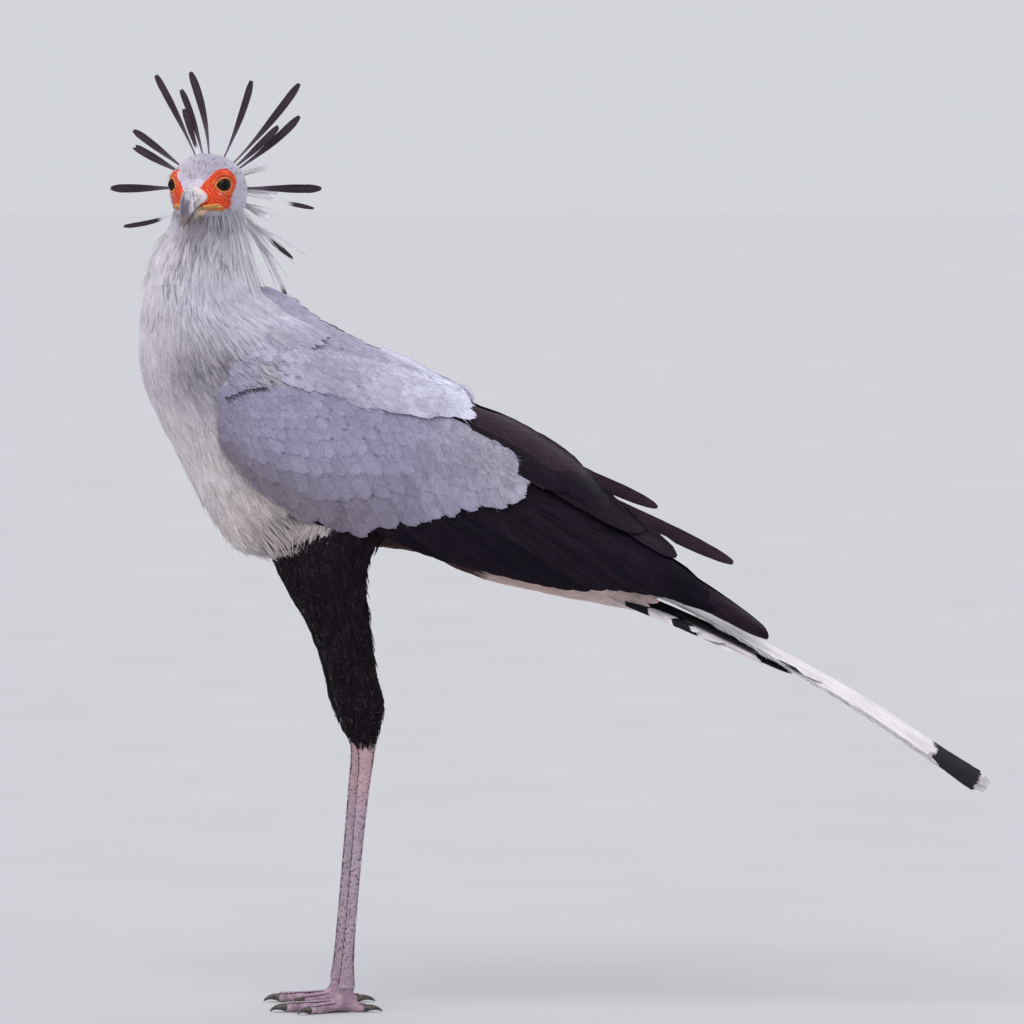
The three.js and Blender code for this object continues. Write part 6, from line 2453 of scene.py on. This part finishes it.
class BirdPlumage(bpy.types.PropertyGroup):
    """Marks that the pale feathers share."""

    barbs: FloatProperty(name="Barbs", description="Barbs along a small feather", default=22.0)
    rim: FloatProperty(name="Rim", description="How pale the rims are", default=0.14)
    shaft: FloatProperty(name="Shaft", description="How dark the shafts are", default=0.14)
    soft: FloatProperty(
        name="Softness", description="How far feathers take their light from the body",
        default=0.8, subtype="FACTOR")


class BirdSkin(bpy.types.PropertyGroup):
    """The skin under the coat."""

    voxel: FloatProperty(
        name="Voxel", description="Fineness of the skin", default=0.003, unit="LENGTH", precision=4)
    wrinkle: FloatProperty(
        name="Wrinkles", description="Depth of the folds in the bare skin", default=0.0004, unit="LENGTH")


class BirdStudio(bpy.types.PropertyGroup):
    """Camera, lights and floor."""

    distance: FloatProperty(
        name="Distance", description="From the camera to the bird", default=9.0, unit="LENGTH")
    elevation: FloatProperty(
        name="Elevation", description="Degrees that the camera looks down by", default=3.0)
    lens: FloatProperty(name="Lens", description="Focal length in millimetres", default=282.0)
    sensor: FloatProperty(name="Sensor", description="Sensor width in millimetres", default=36.0)
    target: FloatVectorProperty(
        name="Target", description="Where the camera looks", default=(-0.042, 0.0, 0.558), unit="LENGTH")
    floor_size: FloatProperty(name="Floor", description="Width of the floor", default=120.0, unit="LENGTH")
    floor_colour: FloatVectorProperty(
        name="Floor colour", description="Colour of the floor",
        default=(0.54, 0.545, 0.565), subtype="COLOR")
    sky_colour: FloatVectorProperty(
        name="Sky colour", description="Colour of the light all round",
        default=(0.93, 0.95, 1.0), subtype="COLOR")
    sky_strength: FloatProperty(name="Sky", description="Light from all round", default=0.7)
    key_power: FloatProperty(name="Key light", description="Power of the main light", default=1.35)


# Operators: one for each piece or group of like pieces

class PreparePlumage(bpy.types.Operator):
    """Makes the finishes and the tree that grows small feathers."""

    bl_idname = "bird.prepare"
    bl_label = "Finishes and feather tree"

    def execute(self, context):
        make_finishes(context.scene.bird_plumage)
        TREES["kinds"] = feather_kinds()
        TREES["coat"] = coat_tree()
        return {"FINISHED"}


class BuildStudio(bpy.types.Operator):
    """Builds the floor, the lights and the camera."""

    bl_idname = "bird.studio"
    bl_label = "Studio"

    def execute(self, context):
        build_studio(context.scene.bird_studio)
        return {"FINISHED"}


class BuildSkin(bpy.types.Operator):
    """Builds one skin for the head, body, wings and legs."""

    bl_idname = "bird.skin"
    bl_label = "Skin"

    def execute(self, context):
        build_skin(context.scene.bird_skin)
        return {"FINISHED"}


class BuildHeadCoat(bpy.types.Operator):
    """Grows the short feathers of the head."""

    bl_idname = "bird.head_coat"
    bl_label = "Head feathers"

    def execute(self, context):
        build_head_coat(context.scene.bird_coat)
        return {"FINISHED"}


class BuildNeckCoat(bpy.types.Operator):
    """Grows the hackles and threads of the neck."""

    bl_idname = "bird.neck_coat"
    bl_label = "Neck feathers"

    def execute(self, context):
        build_neck_coat(context.scene.bird_coat)
        return {"FINISHED"}


class BuildBodyCoat(bpy.types.Operator):
    """Grows the feathers of the breast, belly, back and tail root."""

    bl_idname = "bird.body_coat"
    bl_label = "Breast and belly feathers"

    def execute(self, context):
        build_body_coat(context.scene.bird_coat)
        return {"FINISHED"}


class BuildThighCoat(bpy.types.Operator):
    """Grows the black feathers of the thighs."""

    bl_idname = "bird.thigh_coat"
    bl_label = "Thigh feathers"

    def execute(self, context):
        build_thigh_coat(context.scene.bird_coat)
        build_thigh_threads()
        build_belly_fringe()
        return {"FINISHED"}


class BuildCoverts(bpy.types.Operator):
    """Lays the pale feathers of the folded wings."""

    bl_idname = "bird.coverts"
    bl_label = "Wing coverts and scapulars"

    def execute(self, context):
        build_coverts(context.scene.bird_coat)
        build_scapulars()
        return {"FINISHED"}


class BuildFlightFeathers(bpy.types.Operator):
    """Lays the black feathers of the folded wings."""

    bl_idname = "bird.flight_feathers"
    bl_label = "Flight feathers"

    def execute(self, context):
        build_flight()
        return {"FINISHED"}


class BuildTail(bpy.types.Operator):
    """Builds the tail feathers and the two long ones."""

    bl_idname = "bird.tail"
    bl_label = "Tail feathers"

    def execute(self, context):
        build_tail()
        build_long_tail()
        return {"FINISHED"}


class BuildCrest(bpy.types.Operator):
    """Builds the raised crest feather by feather."""

    bl_idname = "bird.crest"
    bl_label = "Crest"

    def execute(self, context):
        build_crest(context.scene.bird_coat)
        return {"FINISHED"}


class BuildEyes(bpy.types.Operator):
    """Builds the eyeballs, lids and lashes."""

    bl_idname = "bird.eyes"
    bl_label = "Eyes and lids"

    def execute(self, context):
        build_eyes()
        build_lids()
        build_lashes()
        return {"FINISHED"}


class BuildBill(bpy.types.Operator):
    """Builds both halves of the bill."""

    bl_idname = "bird.bill"
    bl_label = "Bill"

    def execute(self, context):
        build_bill()
        build_gape()
        return {"FINISHED"}


class BuildFeet(bpy.types.Operator):
    """Builds the scales of the legs and toes, and the claws."""

    bl_idname = "bird.feet"
    bl_label = "Leg scales and claws"

    def execute(self, context):
        build_scales()
        build_claws()
        return {"FINISHED"}


STEPS = (
    PreparePlumage, BuildStudio, BuildSkin, BuildHeadCoat, BuildNeckCoat, BuildBodyCoat,
    BuildThighCoat, BuildCoverts, BuildFlightFeathers, BuildTail, BuildCrest, BuildEyes, BuildBill,
    BuildFeet,
)
SETTINGS = {
    "bird_coat": BirdCoat, "bird_plumage": BirdPlumage, "bird_skin": BirdSkin, "bird_studio": BirdStudio,
}


class BirdPanel(bpy.types.Panel):
    """Lists the settings and the steps that build the bird."""

    bl_idname = "VIEW3D_PT_bird"
    bl_label = "Secretary bird"
    bl_space_type = "VIEW_3D"
    bl_region_type = "UI"
    bl_category = "Bird"

    def draw(self, context):
        for name, group in SETTINGS.items():
            box = self.layout.box()
            for setting in group.__annotations__:
                box.prop(getattr(context.scene, name), setting)
        for step in STEPS:
            self.layout.operator(step.bl_idname)


def register():
    for made in (*SETTINGS.values(), *STEPS, BirdPanel):
        bpy.utils.register_class(made)
    for name, group in SETTINGS.items():
        setattr(bpy.types.Scene, name, PointerProperty(type=group))


def unregister():
    for name in SETTINGS:
        delattr(bpy.types.Scene, name)
    for made in reversed((*SETTINGS.values(), *STEPS, BirdPanel)):
        bpy.utils.unregister_class(made)


def write_sizes():
    """Works out the box of the solids and the box of what shows, in metres."""
    boxes = {"cad": CAD_BOX, "visual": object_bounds()}
    plain = {name: [list(corner) for corner in box] for name, box in boxes.items()}


def main():
    register()
    for step in STEPS:
        area, name = step.bl_idname.split(".")
        getattr(getattr(bpy.ops, area), name)()
    write_sizes()


if __name__ == "__main__":
    main()
